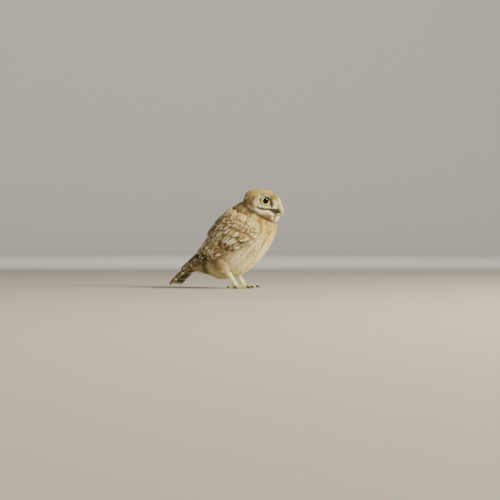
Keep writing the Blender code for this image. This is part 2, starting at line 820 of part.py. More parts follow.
build_owl()
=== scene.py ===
"""Little owl, life size: the looks of a small owl standing on a pale floor."""

import math

import bmesh
import bpy
import numpy as np
from mathutils import Euler, Matrix, Vector, kdtree


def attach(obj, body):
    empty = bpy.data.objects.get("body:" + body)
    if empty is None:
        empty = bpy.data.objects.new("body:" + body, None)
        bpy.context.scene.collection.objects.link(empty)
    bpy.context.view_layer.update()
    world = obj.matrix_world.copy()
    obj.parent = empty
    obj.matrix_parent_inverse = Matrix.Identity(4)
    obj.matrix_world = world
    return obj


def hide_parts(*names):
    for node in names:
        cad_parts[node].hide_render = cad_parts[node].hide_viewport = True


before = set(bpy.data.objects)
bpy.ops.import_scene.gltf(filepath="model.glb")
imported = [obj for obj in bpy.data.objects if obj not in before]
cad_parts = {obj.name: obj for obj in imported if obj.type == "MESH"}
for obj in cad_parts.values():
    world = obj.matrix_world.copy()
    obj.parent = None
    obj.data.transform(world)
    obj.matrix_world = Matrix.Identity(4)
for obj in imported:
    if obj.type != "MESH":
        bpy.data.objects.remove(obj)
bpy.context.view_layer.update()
rng = np.random.default_rng(7)

# Trunk skin. The owl's neck, body, rump and vent are one smooth form under the feathers, so its
# outline in the middle plane is swept to the side by a half width. It lies a coat's depth inside
# the solids, which reach out to the feathers' tips.

FORWARD = 0.01789
STATIONS = np.array(
    (
        # Back x and z, belly x and z, and half width, from the neck to the tip of the tail.
        (0.0175, 0.1440, 0.0600, 0.1200, 0.0230),
        (-0.0030, 0.1315, 0.0640, 0.1030, 0.0300),
        (-0.0150, 0.1195, 0.0610, 0.0850, 0.0350),
        (-0.0260, 0.1085, 0.0510, 0.0640, 0.0365),
        (-0.0365, 0.0965, 0.0345, 0.0430, 0.0355),
        (-0.0455, 0.0830, 0.0090, 0.0235, 0.0320),
        (-0.0540, 0.0700, -0.0210, 0.0150, 0.0265),
        (-0.0635, 0.0580, -0.0470, 0.0200, 0.0200),
        (-0.0790, 0.0435, -0.0700, 0.0190, 0.0180),
        (-0.0985, 0.0270, -0.0935, 0.0080, 0.0180),
        (-0.1190, 0.0080, -0.1160, -0.0030, 0.0180),
    )
)
STATIONS[:, (0, 2)] += FORWARD
COAT_DEPTH = 0.0030


def smooth(low, high, value):
    """0 up to low and 1 from high on, with an even rise between them. It falls where low is the larger."""
    share = np.clip((value - low) / (high - low), 0.0, 1.0)
    return share * share * (3.0 - 2.0 * share)


def bump(value, centre, width):
    """1 at the centre, falling evenly to both sides to about a third this far away."""
    return np.exp(-(((value - centre) / width) ** 2))


def unit(vectors):
    """Vectors brought to length 1."""
    return vectors / np.maximum(np.linalg.norm(vectors, axis=-1, keepdims=True), 1e-12)


def outline_point(place, around):
    """On the trunk's outline: around is 0 on the back, 90 on the left side and 180 on the belly."""
    last = len(STATIONS) - 1
    first = np.clip(np.floor(place).astype(int), 0, last - 1)
    t = (place - first)[:, None]
    before, start = STATIONS[np.maximum(first - 1, 0)], STATIONS[first]
    end, after = STATIONS[first + 1], STATIONS[np.minimum(first + 2, last)]
    row = start * 2.0 + (end - before) * t
    row += (before * 2.0 - start * 5.0 + end * 4.0 - after) * t**2
    row += (start * 3.0 - before - end * 3.0 + after) * t**3
    back_x, back_z, belly_x, belly_z, half_width = (row * 0.5).T
    high = (1.0 + np.cos(np.radians(around))) / 2.0
    return np.stack(
        (
            belly_x + (back_x - belly_x) * high,
            half_width * np.sin(np.radians(around)),
            belly_z + (back_z - belly_z) * high,
        ),
        axis=-1,
    )


SLOPE_STEP = 0.02


def slopes(place, around):
    """How the outline moves for one station and for one degree."""
    down = outline_point(place + SLOPE_STEP, around) - outline_point(place - SLOPE_STEP, around)
    across = outline_point(place, around + 1.0) - outline_point(place, around - 1.0)
    return down / (2.0 * SLOPE_STEP), across / 2.0


def trunk_point(place, around, lift):
    """Points lifted this far off the trunk's outline, and the way out at each."""
    down, across = slopes(place, around)
    outward = unit(np.cross(across, down))
    return outline_point(place, around) + outward * np.asarray(lift)[..., None], outward


def step_over(place, around, heading, distance):
    """The place and angle this far over the outline. Heading 0 leads to the tail, 90 down the left."""
    down, across = slopes(place, around)
    place = place + distance * np.cos(np.radians(heading)) / np.linalg.norm(down, axis=1)
    around = around + distance * np.sin(np.radians(heading)) / np.linalg.norm(across, axis=1)
    return place, around


def placed(name, data):
    """A new object that holds a mesh, light or camera, linked to the scene."""
    made = bpy.data.objects.new(name, data)
    bpy.context.scene.collection.objects.link(made)
    return made


def mesh_piece(name, points, faces):
    """A mesh with its double points merged and its faces turned outwards."""
    mesh = bpy.data.meshes.new(name)
    mesh.from_pydata([tuple(p) for p in points], [], faces)
    work = bmesh.new()
    work.from_mesh(mesh)
    bmesh.ops.remove_doubles(work, verts=work.verts, dist=1e-6)
    bmesh.ops.recalc_face_normals(work, faces=work.faces)
    work.to_mesh(mesh)
    work.free()
    mesh.shade_smooth()
    return placed(name, mesh)


def loft(name, rings):
    """A closed skin through rings of points, with its two ends capped."""
    rows, columns = len(rings), len(rings[0])
    faces = [
        (r * columns + c, r * columns + (c + 1) % columns,
         (r + 1) * columns + (c + 1) % columns, (r + 1) * columns + c)
        for r in range(rows - 1)
        for c in range(columns)
    ]
    faces += [tuple(range(columns)), tuple((rows - 1) * columns + c for c in range(columns))]
    return mesh_piece(name, np.concatenate(rings), faces)


TRUNK_ROWS, TRUNK_COLUMNS = 110, 96
# From this station on the skin closes, over this many stations, to a blunt end at the vent.
VENT_START, VENT_LENGTH = 6.6, 1.3

trunk_rings = []
around = np.linspace(0.0, 360.0, TRUNK_COLUMNS, endpoint=False)
for place in np.linspace(0.15, 7.9, TRUNK_ROWS):
    ring, _ = trunk_point(np.full(TRUNK_COLUMNS, place), around, -COAT_DEPTH)
    middle = (ring[0] + ring[TRUNK_COLUMNS // 2]) / 2.0
    closing = math.sqrt(max(1.0 - max((place - VENT_START) / VENT_LENGTH, 0.0) ** 2, 0.02))
    trunk_rings.append(middle + (ring - middle) * closing)
trunk_skin = loft("trunk_skin", trunk_rings)

# Head skin. The skull is broad and flat-topped under its feathers, with a shallow dish round each
# eye, a jutting brow and a ridge between the eyes that runs down to the bill.

HEAD_CENTRE = Vector((0.0420 + FORWARD, 0.0, 0.1345))
HEAD_TURN = Euler((0.0, math.radians(4.0), math.radians(-14.0)))
HEAD_FRAME = Matrix.Translation(HEAD_CENTRE) @ HEAD_TURN.to_matrix().to_4x4()
HEAD_FRONT, HEAD_REAR, HEAD_SIDE = 0.0285, 0.0300, 0.0290
HEAD_TOP, HEAD_UNDER = 0.0224, 0.0250
HEAD_SQUARENESS = 2.3
EYE_CENTRE = Vector((0.0107, 0.0123, 0.0042))
EYE_RADIUS = 0.0102
EYE_YAW, EYE_PITCH = 37.0, 1.0
FACE_DEPTH = 0.0020


def direction(yaw, pitch):
    """Unit vectors: yaw 0 looks forward and 90 to the left, pitch 90 looks up."""
    yaw, pitch = np.radians(yaw), np.radians(pitch)
    return np.stack((np.cos(pitch) * np.cos(yaw), np.cos(pitch) * np.sin(yaw), np.sin(pitch)), -1)


def full_turn(columns):
    """Angles evenly round a circle, in radians."""
    return np.linspace(0.0, 2.0 * math.pi, columns, endpoint=False)


def ring_of_ways(turn, columns):
    """A ring of unit vectors that all lie this many degrees off the X axis."""
    turn, roll = math.radians(turn), full_turn(columns)
    ahead = np.full(columns, math.cos(turn))
    return np.stack((ahead, math.sin(turn) * np.cos(roll), math.sin(turn) * np.sin(roll)), -1)


def head_radius(way):
    """How far the head's feathers reach from its centre, in a direction."""
    front = np.where(way[:, 0] > 0.0, HEAD_FRONT, HEAD_REAR)
    height = np.where(way[:, 2] > 0.0, HEAD_TOP, HEAD_UNDER)
    power = HEAD_SQUARENESS
    radius = np.abs(way[:, 0] / front) ** power + np.abs(way[:, 1] / HEAD_SIDE) ** power
    radius = (radius + np.abs(way[:, 2] / height) ** power) ** (-1.0 / power)
    yaw = np.abs(np.degrees(np.arctan2(way[:, 1], way[:, 0])))
    pitch = np.degrees(np.arcsin(np.clip(way[:, 2], -1.0, 1.0)))
    folded = way * (1.0, 0.0, 1.0) + np.abs(way) * (0.0, 1.0, 0.0)
    toward_eye = np.clip(folded @ direction(EYE_YAW, 6.0), -1.0, 1.0)
    off_eye = np.degrees(np.arccos(toward_eye))
    dish = -0.0060 * bump(off_eye, 0.0, 28.0)
    rim = 0.0016 * bump(off_eye, 44.0, 9.0) * smooth(8.0, -14.0, pitch)
    temple = 0.0010 * bump(yaw, 78.0, 9.0) * bump(pitch, 0.0, 24.0)
    brow = 0.0022 * bump(pitch, 24.0, 9.0) * bump(yaw, 30.0, 34.0)
    bill_ridge = 0.0072 * bump(yaw, 0.0, 18.0) * bump(pitch, 0.0, 32.0)
    chin = 0.0078 * bump(pitch, -42.0, 18.0) * bump(yaw, 0.0, 50.0)
    slope = -0.0030 * bump(pitch, 42.0, 20.0) * bump(yaw, 0.0, 62.0)
    nape = 0.0018 * bump(pitch, 42.0, 18.0) * bump(yaw, 150.0, 50.0)
    return radius + dish + rim + temple + brow + bill_ridge + chin + slope + nape


head_rings = []
for turn in np.linspace(1.5, 178.5, 100):
    way = ring_of_ways(turn, 128)
    head_rings.append(way * (head_radius(way) - FACE_DEPTH)[:, None])
head_skin = loft("head_skin", head_rings)
head_skin.data.transform(HEAD_FRAME)

# Sockets. Each eyeball is larger than the gap between its lids and lies well inside the skull. The
# lids bulge over it, and only an oval pit as wide as that gap is cut from the skin.

LID_WIDTH, LID_HEIGHT = 0.0178, 0.0152
LID_BULGE = 0.0011


def eye_frame(side):
    """Where an eye sits, turned so that its X looks out. side is 1 for the left eye."""
    place = Vector((EYE_CENTRE.x, EYE_CENTRE.y * side, EYE_CENTRE.z))
    turn = Euler((0.0, math.radians(-EYE_PITCH), math.radians(EYE_YAW * side)))
    return HEAD_FRAME @ Matrix.Translation(place) @ turn.to_matrix().to_4x4()


def lid_edge(roll, spread=1.0):
    """Across and up from the eye's axis to the edge of the lids, which is flatter above."""
    across = LID_WIDTH / 2.0 * np.cos(roll) * spread
    up = LID_HEIGHT / 2.0 * np.sin(roll) * np.where(np.sin(roll) > 0.0, 0.86, 1.0) * spread
    return across, up


def moved(points, matrix):
    """Points carried by a 4 by 4 matrix."""
    matrix = np.array(matrix)
    return points @ matrix[:3, :3].T + matrix[:3, 3]


def applied(piece):
    """The piece with its modifiers baked into a plain mesh."""
    bpy.context.view_layer.update()
    graph = bpy.context.evaluated_depsgraph_get()
    mesh = bpy.data.meshes.new_from_object(piece.evaluated_get(graph))
    piece.modifiers.clear()
    piece.data = mesh
    return piece


PIT_FLOOR, PIT_RIM, PIT_TOP = 0.0012, 0.0052, 0.0200
PIT_FLARE = 24.0

for side in (-1, 1):
    ball_rings = [
        moved(ring_of_ways(turn, 64) * (EYE_RADIUS + LID_BULGE), eye_frame(side))
        for turn in np.linspace(2.0, 176.0, 40)
    ]
    ball = loft("ball", ball_rings)
    pit_rings = []
    for reach in (PIT_FLOOR, PIT_RIM, PIT_TOP):
        across, up = lid_edge(full_turn(48), 1.02 + PIT_FLARE * max(reach - PIT_RIM, 0.0))
        pit_rings.append(moved(np.stack((np.full(48, reach), across, up), -1), eye_frame(side)))
    pit = loft("pit", pit_rings)
    for shape, operation in ((ball, "UNION"), (pit, "DIFFERENCE")):
        cut = head_skin.modifiers.new("Socket", "BOOLEAN")
        cut.operation, cut.solver, cut.object = operation, "EXACT", shape
        applied(head_skin)
        bpy.data.objects.remove(shape)

# Leg skin. Thigh, shank and foot are one tapering skin. The toes are short and thick, with three
# pads under each, and the outer one turns out to the side.

FOOT_X, FOOT_Y, FOOT_HEIGHT = 0.0040 + FORWARD, 0.0185, 0.0048
ANKLE = np.array((-0.0095 + FORWARD, 0.0180, 0.0275))
HIP = np.array((-0.0195 + FORWARD, 0.0285, 0.0425))
TOE_RADIUS, TOE_TAPER, PAD_DEPTH = 0.0026, 0.14, 0.0002
TOES = (
    # Name, yaw on the left foot, length of the toe and length of its claw.
    ("inner", -22.0, 0.0150, 0.0095),
    ("middle", 8.0, 0.0190, 0.0100),
    ("outer", 68.0, 0.0145, 0.0090),
    ("hind", 178.0, 0.0095, 0.0085),
)


def tube(name, path, widths, heights, columns, side=(0.0, 1.0, 0.0)):
    """A closed skin along a path with oval sections, each half as wide and high as listed."""
    rings = []
    roll = full_turn(columns)[:, None]
    for i, centre in enumerate(path):
        ahead = path[min(i + 1, len(path) - 1)] - path[max(i - 1, 0)]
        across = unit(np.array(side) - ahead * np.dot(side, ahead) / np.dot(ahead, ahead))
        upward = unit(np.cross(ahead, across))
        rings.append(centre + across * widths[i] * np.cos(roll) + upward * heights[i] * np.sin(roll))
    return loft(name, rings)


def toe_way(yaw, side):
    """The way a toe points over the floor. Its yaw is mirrored on the right foot."""
    return np.array((math.cos(math.radians(yaw)), side * math.sin(math.radians(yaw)), 0.0))


leg_skins = []
for side in (-1, 1):
    mirror = np.array((1.0, side, 1.0))
    hip, ankle = HIP * mirror, ANKLE * mirror
    foot = np.array((FOOT_X, FOOT_Y * side, FOOT_HEIGHT))
    path = [hip + (ankle - hip) * t for t in (-0.28, -0.12, 0.14, 0.4, 0.66, 0.86)]
    path += [ankle + (foot + (0.0, 0.0, 0.0008) - ankle) * t for t in (0.0, 0.3, 0.6, 0.85, 1.0)]
    radii = [0.0015, 0.0046, 0.0090, 0.0097, 0.0078, 0.0054, 0.0037, 0.0031, 0.0026, 0.0027, 0.0032]
    leg_skins.append(tube("leg_skin", path, radii, radii, columns=24))
    for toe_name, yaw, length, claw_length in TOES:
        way = toe_way(yaw, side)
        path, radii = [], []
        for share in np.linspace(0.0, 1.0, 28):
            arch = 0.0012 * math.sin(math.pi * share)
            path.append(np.array((foot[0], foot[1], TOE_RADIUS - 0.0001 + arch)) + way * length * share)
            pads = PAD_DEPTH * math.cos(share * 5.0 * math.pi)
            radii.append(TOE_RADIUS * (1.0 - TOE_TAPER * share) + pads - PAD_DEPTH)
        leg_skins.append(tube("toe_skin", path, radii, radii, 16, (-way[1], way[0], 0.0)))

# One skin. Trunk, head, legs and toes grow into each other, so they are fused to a single closed
# skin whose joins are rounded off as muscle and fat do.

SKIN_GRAIN = 0.00085

work = bmesh.new()
for piece in [trunk_skin, head_skin] + leg_skins:
    work.from_mesh(piece.data)
    bpy.data.objects.remove(piece)
skin_mesh = bpy.data.meshes.new("skin")
work.to_mesh(skin_mesh)
work.free()
skin = placed("skin", skin_mesh)
fuse = skin.modifiers.new("Fuse", "REMESH")
fuse.mode, fuse.voxel_size, fuse.use_smooth_shade = "VOXEL", SKIN_GRAIN, True
soften = skin.modifiers.new("Soften", "SMOOTH")
soften.factor, soften.iterations = 0.5, 5
applied(skin)


def values_of(rows, field, width=3):
    """One field of a mesh's points, or of an attribute's rows, as an array of this many columns."""
    values = np.empty(len(rows) * width)
    rows.foreach_get(field, values)
    return values.reshape(-1, width)


skin_points = values_of(skin.data.vertices, "co")
skin_normals = values_of(skin.data.vertices, "normal")

# Where a feather grows. Its place on the head is a yaw and a pitch seen from the head's centre, and
# its place on the trunk a station and an angle round it. Both say which plumage and lie it has.

HEAD_AXES = np.array(HEAD_TURN.to_matrix())
# Nothing lower than the first is head, and nothing higher than the second is leg.
HEAD_BOTTOM, LEG_TOP = 0.09, 0.055


def finder(points):
    """A search tree that finds the nearest of these points."""
    tree = kdtree.KDTree(len(points))
    for i, point in enumerate(points):
        tree.insert(point, i)
    tree.balance()
    return tree


net_place, net_around = np.meshgrid(np.arange(0.0, 8.6, 0.05), np.arange(-180.0, 180.0, 2.0), indexing="ij")
net_place, net_around = net_place.ravel(), net_around.ravel()
net, _ = trunk_point(net_place, net_around, np.full(len(net_place), -COAT_DEPTH))
net_tree = finder(net)


def in_head(points):
    """Points seen from the head's centre, along its own axes."""
    return (points - np.array(HEAD_CENTRE)) @ HEAD_AXES


def head_place(points):
    """Yaw, pitch and height over the head's skin. Yaw is positive on the left side."""
    local = in_head(points)
    way = unit(local)
    yaw = np.degrees(np.arctan2(way[:, 1], way[:, 0]))
    pitch = np.degrees(np.arcsin(np.clip(way[:, 2], -1.0, 1.0)))
    height = np.linalg.norm(local, axis=1) - (head_radius(way) - FACE_DEPTH)
    return yaw, pitch, height


def trunk_place(points):
    """Station, angle round the trunk and height over its skin."""
    nearest = np.array([net_tree.find(p)[1] for p in points])
    place, around = net_place[nearest], net_around[nearest]
    down, across = slopes(place, around)
    _, outward = trunk_point(place, around, np.zeros(len(points)))
    away = points - net[nearest]
    place = place + np.sum(away * down, -1) / np.sum(down**2, -1)
    around = around + np.sum(away * across, -1) / np.sum(across**2, -1)
    return place, around, np.sum(away * outward, -1)


yaw, pitch, head_height = head_place(skin_points)
place, around, trunk_height = trunk_place(skin_points)
on_head = smooth(-0.0012, 0.0012, trunk_height - np.abs(head_height))
on_head = np.maximum(on_head, smooth(0.10, -0.10, place)) * (skin_points[:, 2] > HEAD_BOTTOM)
on_leg = smooth(0.0010, 0.0030, trunk_height) * (skin_points[:, 2] < LEG_TOP)
on_toe = smooth(0.0105, 0.0080, skin_points[:, 2]) * on_leg

# Markings. The crown is golden tan with fine pale streaks, the brows and the stripe under the cheek
# are white, and a brown patch lies on the throat. The breast is ochre and the belly cream, both with
# soft streaks along the feathers, and the back and wings are brown with cream spots.


def linear(code):
    """An sRGB hex colour as linear light."""
    values = np.array([int(code[i:i + 2], 16) / 255.0 for i in (1, 3, 5)])
    return np.where(values <= 0.04045, values / 12.92, ((values + 0.055) / 1.055) ** 2.4)


def opaque(code):
    """The same colour with full alpha, as a node's colour socket takes it."""
    return (*linear(code), 1.0)


def tint(base, code, amount):
    """Colours moved this share of the way to another colour."""
    return base + (linear(code) - base) * np.clip(amount, 0.0, 1.0)[:, None]


def mottle(points, size, seed):
    """Smooth random blotches from 0 to 1, each about this size."""
    cell = points / size
    low = np.floor(cell).astype(np.int64)
    share = cell - low
    share = share * share * (3.0 - 2.0 * share)
    total = np.zeros(len(points))
    for corner in range(8):
        offset = np.array([(corner >> k) & 1 for k in range(3)])
        key = (low + offset) @ np.array((73856093, 19349663, 83492791)) + seed * 40503
        key = (key ^ (key >> 13)) * 1274126177 & 0xFFFFFFFF
        key = (key ^ (key >> 16)) & 0xFFFF
        total += key / 65535.0 * np.prod(np.where(offset == 1, share, 1.0 - share), axis=1)
    return total


def near_line(x, y, line, width):
    """1 on a line through these points of a flat map, falling to 0 about this far from it."""
    best = np.full(len(x), 1e9)
    for (ax, ay), (bx, by) in zip(line[:-1], line[1:]):
        length = (bx - ax) ** 2 + (by - ay) ** 2
        share = np.clip(((x - ax) * (bx - ax) + (y - ay) * (by - ay)) / length, 0.0, 1.0)
        best = np.minimum(best, np.hypot(x - ax - (bx - ax) * share, y - ay - (by - ay) * share))
    return bump(best, 0.0, width)


CROWN, CROWN_DARK, BROWN, DARK_BROWN = "#B8A25C", "#7C6738", "#6B5331", "#33281A"
CREAM, WHITE, OCHRE, THROAT = "#F3E4AC", "#FFFBE4", "#DCC678", "#8B6F4C"
CHEEK, FLANK, SHANK, LORE = "#C2B485", "#A38355", "#FFF6C8", "#F6EAB4"
HEAD_REAR_BROWN, NAPE, STREAK, UNDERTAIL = "#7A6342", "#A48A58", "#9A7C48", "#A08C62"
BAND, PAINTED_BILL_SHADE, EYE_CORNER, VENT = "#241B10", "#3F3620", "#1E170D", "#B8A97C"

# Lines of the face, each a list of points as yaw from the bill and pitch, in degrees.
OVER_BROW_LINE = ((66, 31), (55, 35), (42, 39), (28, 39), (18, 27), (12, 17), (8, 11))
BROW_LINE = ((69, 23), (59, 24), (48, 27), (38, 28), (30, 22), (24, 16), (19, 8))
EYE_CORNER_LINE = ((23, 15), (21, 6), (20, -3), (22, -10))
UNDER_EYE_LINE = ((65, -8), (57, -9), (45, -12), (34, -12), (24, -12), (13, -11), (5, -8))
BAND_LINE = ((68, -12), (57, -16), (45, -18), (32, -18), (24, -19), (14, -18), (7, -17))
BILL_CORNER_LINE = ((24, -24), (14, -24), (7, -22))
MOUSTACHE_LINE = (
    (102, -8), (96, -14), (88, -19), (76, -17), (67, -21),
    (58, -25), (47, -24), (35, -24), (27, -27), (20, -30),
)
PALE_NAPE_LINE = ((150, 24), (132, 18), (114, 17))


def head_plumage(points, yaw, pitch):
    """Colours over the head. Places are yaw to either side and pitch, in degrees."""
    side = np.abs(yaw)
    streak = mottle(np.stack((side / 3.2, pitch / 16.0, np.zeros(len(side))), -1), 1.0, 5)
    fleck = mottle(points, 0.0019, 9)
    colour = np.tile(linear(CROWN), (len(points), 1))
    colour = tint(colour, CROWN_DARK, 0.55 * smooth(0.5, 0.85, streak))
    colour = tint(colour, CREAM, 0.75 * smooth(0.62, 0.86, fleck) * smooth(20.0, 50.0, pitch + side * 0.3))
    rear = smooth(88.0, 120.0, side) * smooth(40.0, 8.0, pitch)
    colour = tint(colour, HEAD_REAR_BROWN, 0.85 * rear)
    colour = tint(colour, CREAM, 0.7 * rear * smooth(0.60, 0.80, fleck))
    colour = tint(colour, CREAM, 0.7 * near_line(side, pitch, PALE_NAPE_LINE, 3.5))
    low_cheek = smooth(26.0, 14.0, pitch) * smooth(110.0, 88.0, side)
    colour = tint(colour, CHEEK, low_cheek)
    colour = tint(colour, THROAT, 0.8 * bump(side, 96.0, 10.0) * bump(pitch, -2.0, 14.0))
    colour = tint(colour, CREAM, 0.7 * bump(side, 76.0, 9.0) * bump(pitch, 2.0, 9.0))
    lore = smooth(27.0, 21.0, side) * smooth(18.0, 10.0, pitch) * smooth(-14.0, -8.0, pitch)
    colour = tint(colour, LORE, lore)
    colour = tint(colour, DARK_BROWN, 0.9 * bump(side, 86.0, 6.0) * bump(pitch, 16.0, 6.0))
    colour = tint(colour, CROWN_DARK, 0.7 * bump(side, 76.0, 4.0) * bump(pitch, 24.0, 4.0))
    colour = tint(colour, CROWN_DARK, 0.8 * near_line(side, pitch, OVER_BROW_LINE, 3.4))
    colour = tint(colour, BAND, near_line(side, pitch, BAND_LINE, 5.6))
    # Painted shade: a dark patch at the corner of the bill, under its root.
    colour = tint(colour, PAINTED_BILL_SHADE, near_line(side, pitch, BILL_CORNER_LINE, 6.0))
    colour = tint(colour, THROAT, 0.95 * smooth(-27.0, -31.0, pitch + 0.08 * side) * smooth(4.0, 12.0, side))
    colour = tint(colour, WHITE, near_line(side, pitch, UNDER_EYE_LINE, 2.5))
    colour = tint(colour, WHITE, near_line(side, pitch, BROW_LINE, 3.4))
    colour = tint(colour, EYE_CORNER, near_line(side, pitch, EYE_CORNER_LINE, 3.8))
    colour = tint(colour, WHITE, near_line(side, pitch, MOUSTACHE_LINE, 2.4))
    colour = tint(colour, WHITE, 0.9 * bump(side, 18.0, 4.0) * bump(pitch, -38.0, 4.0))
    colour = tint(colour, WHITE, 0.85 * smooth(11.0, 5.0, side) * smooth(-27.0, -33.0, pitch))
    return colour


def trunk_plumage(points, place, around):
    """Colours over the trunk. Places are stations and degrees to either side of the back."""
    side = np.abs(around)
    streak = mottle(np.stack((place / 0.85, side / 4.2, np.sign(around)), -1), 1.0, 21)
    fleck = mottle(points, 0.0040, 31)
    colour = np.tile(linear(CREAM), (len(points), 1))
    breast = smooth(3.1, 1.5, place) * smooth(92.0, 118.0, side)
    colour = tint(colour, OCHRE, 0.9 * breast)
    strength = smooth(5.4, 2.4, place) * smooth(0.52, 0.80, streak)
    colour = tint(colour, STREAK, 0.75 * strength)
    colour = tint(colour, WHITE, 0.7 * smooth(2.4, 4.0, place) * smooth(0.50, 0.25, streak))
    back = smooth(112.0, 88.0, side) * smooth(6.9, 6.2, place)
    colour = tint(colour, BROWN, 0.9 * back)
    colour = tint(colour, CREAM, 0.6 * back * smooth(0.62, 0.85, fleck))
    # The under tail coverts are greyish tan, darkened further as painted shade under the tail.
    colour = tint(colour, UNDERTAIL, 0.85 * smooth(5.7, 6.5, place) * smooth(60.0, 100.0, side))
    colour = tint(colour, FLANK, 0.9 * bump(place, 5.35, 0.75) * bump(side, 108.0, 17.0))
    colour = tint(colour, VENT, 0.7 * smooth(4.2, 5.2, place) * smooth(118.0, 134.0, side))
    # Painted shade: a dark brown patch low on the side between the thigh and the tail coverts, where shade
    # falls.
    painted_shade_behind_thigh = bump(points[:, 0], -0.0255, 0.0060) * smooth(0.052, 0.042, points[:, 2])
    colour = tint(colour, DARK_BROWN, 0.75 * painted_shade_behind_thigh)
    throat = bump(place, 0.66, 0.36) * smooth(100.0, 116.0, side)
    colour = tint(colour, THROAT, 0.95 * throat)
    colour = tint(colour, WHITE, smooth(0.62, 0.30, place) * smooth(146.0, 160.0, side))
    nape = smooth(1.3, 0.5, place) * smooth(100.0, 76.0, side)
    colour = tint(colour, NAPE, 0.85 * nape)
    colour = tint(colour, CREAM, 0.3 * nape * smooth(0.64, 0.80, fleck))
    return colour


def plumage(points, on_head, on_leg, yaw, pitch, place, around):
    """Colours over the whole skin, from the trunk's, the head's and the pale shanks."""
    colour = trunk_plumage(points, place, around)
    colour += (head_plumage(points, yaw, pitch) - colour) * on_head[:, None]
    return tint(colour, SHANK, on_leg * smooth(0.034, 0.024, points[:, 2]))


def write_attribute(mesh, name, kind, values):
    """Stores one value for each point of a mesh under a name that materials can read."""
    fields = {"FLOAT": "value", "FLOAT_VECTOR": "vector", "FLOAT_COLOR": "color"}
    if kind == "FLOAT_COLOR":
        values = np.concatenate((values, np.ones((len(values), 1))), axis=1)
    layer = mesh.attributes.new(name, kind, "POINT")
    layer.data.foreach_set(fields[kind], np.asarray(values, np.float32).ravel())


# Lie of the feathers. They point down the trunk to the tail, away from the bill on the crown,
# outward from each eye like the spokes of a wheel, and down the legs to the toes.


def flat_on(vectors, normals):
    """Vectors turned into the plane of the skin, of length 1."""
    return unit(vectors - normals * np.sum(vectors * normals, -1, keepdims=True))


down, _ = slopes(place, around)
lie = unit(down)
bill_point = moved(np.array(((0.0340, 0.0, -0.0030),)), HEAD_FRAME)
head_lie = unit(skin_points - bill_point)
head_down = np.array((-0.45, 0.0, -1.0)) @ HEAD_AXES.T
head_lie += head_down * (smooth(70.0, 130.0, np.abs(yaw)) * 1.2)[:, None]
eye_heights = []
for side in (-1, 1):
    socket = eye_frame(side)
    local = moved(skin_points, socket.inverted())
    off_axis = np.hypot(local[:, 1], local[:, 2])
    eye_heights.append(np.hypot(local[:, 1] / LID_WIDTH, local[:, 2] / LID_HEIGHT) * 2.0)
    spoke = (local * (0.0, 1.0, 1.0)) @ np.array(socket)[:3, :3].T
    near_eye = smooth(0.0175, 0.0100, off_axis) * smooth(-0.004, 0.002, local[:, 0])
    # The feathers of the brow lie back over it and leave its outline smooth.
    over_eye = smooth(0.0, 0.0070, local[:, 2])
    head_lie += unit(spoke) * (near_eye * (1.8 - 1.3 * over_eye))[:, None]
lie += (flat_on(head_lie, skin_normals) - lie) * on_head[:, None]
leg_lie = np.tile((0.25, 0.0, -1.0), (len(skin_points), 1))
foot_side = FOOT_Y * np.sign(skin_points[:, 1])
foot_middle = np.stack((np.full(len(skin_points), FOOT_X), foot_side, skin_points[:, 2]), -1)
leg_lie += (unit(skin_points - foot_middle) + (0.0, 0.0, -0.2) - leg_lie) * on_toe[:, None]
lie += (leg_lie - lie) * on_leg[:, None]
lie = flat_on(lie, skin_normals)
write_attribute(skin.data, "lie", "FLOAT_VECTOR", lie)

# A feather shows its colour beyond its root, so the markings are looked up that far along the lie.
HEAD_REACH, BODY_REACH = 0.0016, 0.0030
shown_off = HEAD_REACH * on_head + BODY_REACH * (1.0 - on_head) * (1.0 - on_leg)
shown = skin_points + lie * shown_off[:, None]
shown_yaw, shown_pitch, _ = head_place(shown)
shown_place, shown_around, _ = trunk_place(shown)
skin_colour = plumage(shown, on_head, on_leg, shown_yaw, shown_pitch, shown_place, shown_around)
write_attribute(skin.data, "plumage", "FLOAT_COLOR", skin_colour)

# Tufts. A small feather is a narrow blade, rooted in the skin and lying along the coat. Six coats
# are scattered over the skin, each with its own blade, length and closeness, so that they overlap.


def give(node, inputs):
    """Gives a node's sockets, by name or number, a value, a link or another node's first output."""
    for name, value in dict(inputs).items():
        if isinstance(value, bpy.types.Node):
            value = value.outputs[0]
        if isinstance(value, bpy.types.NodeSocket):
            node.id_data.links.new(value, node.inputs[name])
        else:
            node.inputs[name].default_value = value


def add(tree, kind, inputs=(), **settings):
    """A node with its settings and its inputs."""
    node = tree.nodes.new(kind)
    for name, value in settings.items():
        setattr(node, name, value)
    give(node, inputs)
    return node


def blade(name, outline, curl):
    """One feather of length and width 1 along +Y, with its shaft raised and its tip bent down."""
    points, faces = [], []
    for along, half in outline:
        height = curl * math.sin(math.pi * along**1.3)
        for across in (-1.0, 0.0, 1.0):
            points.append((across * half, along, height - abs(across) * half * 0.22))
    for r in range(len(outline) - 1):
        for c in range(2):
            a = r * 3 + c
            faces.append((a, a + 1, a + 4, a + 3))
    mesh = bpy.data.meshes.new(name)
    mesh.from_pydata(points, [], faces)
    mesh.shade_smooth()
    layer = mesh.uv_layers.new(name="tuft")
    for loop in mesh.loops:
        x, y, _ = points[loop.vertex_index]
        layer.data[loop.index].uv = (x + 0.5, y)
    return placed(name, mesh)


WISP = ((0.0, 0.16), (0.4, 0.34), (0.78, 0.22), (1.0, 0.02))
CONTOUR = ((0.0, 0.16), (0.35, 0.42), (0.72, 0.5), (0.93, 0.34), (1.0, 0.08))
BRISTLE = ((0.0, 0.35), (0.55, 0.42), (1.0, 0.04))
wisp_blade = blade("wisp", WISP, 0.10)
contour_blade = blade("contour", CONTOUR, 0.10)
bristle_blade = blade("bristle", BRISTLE, 0.14)


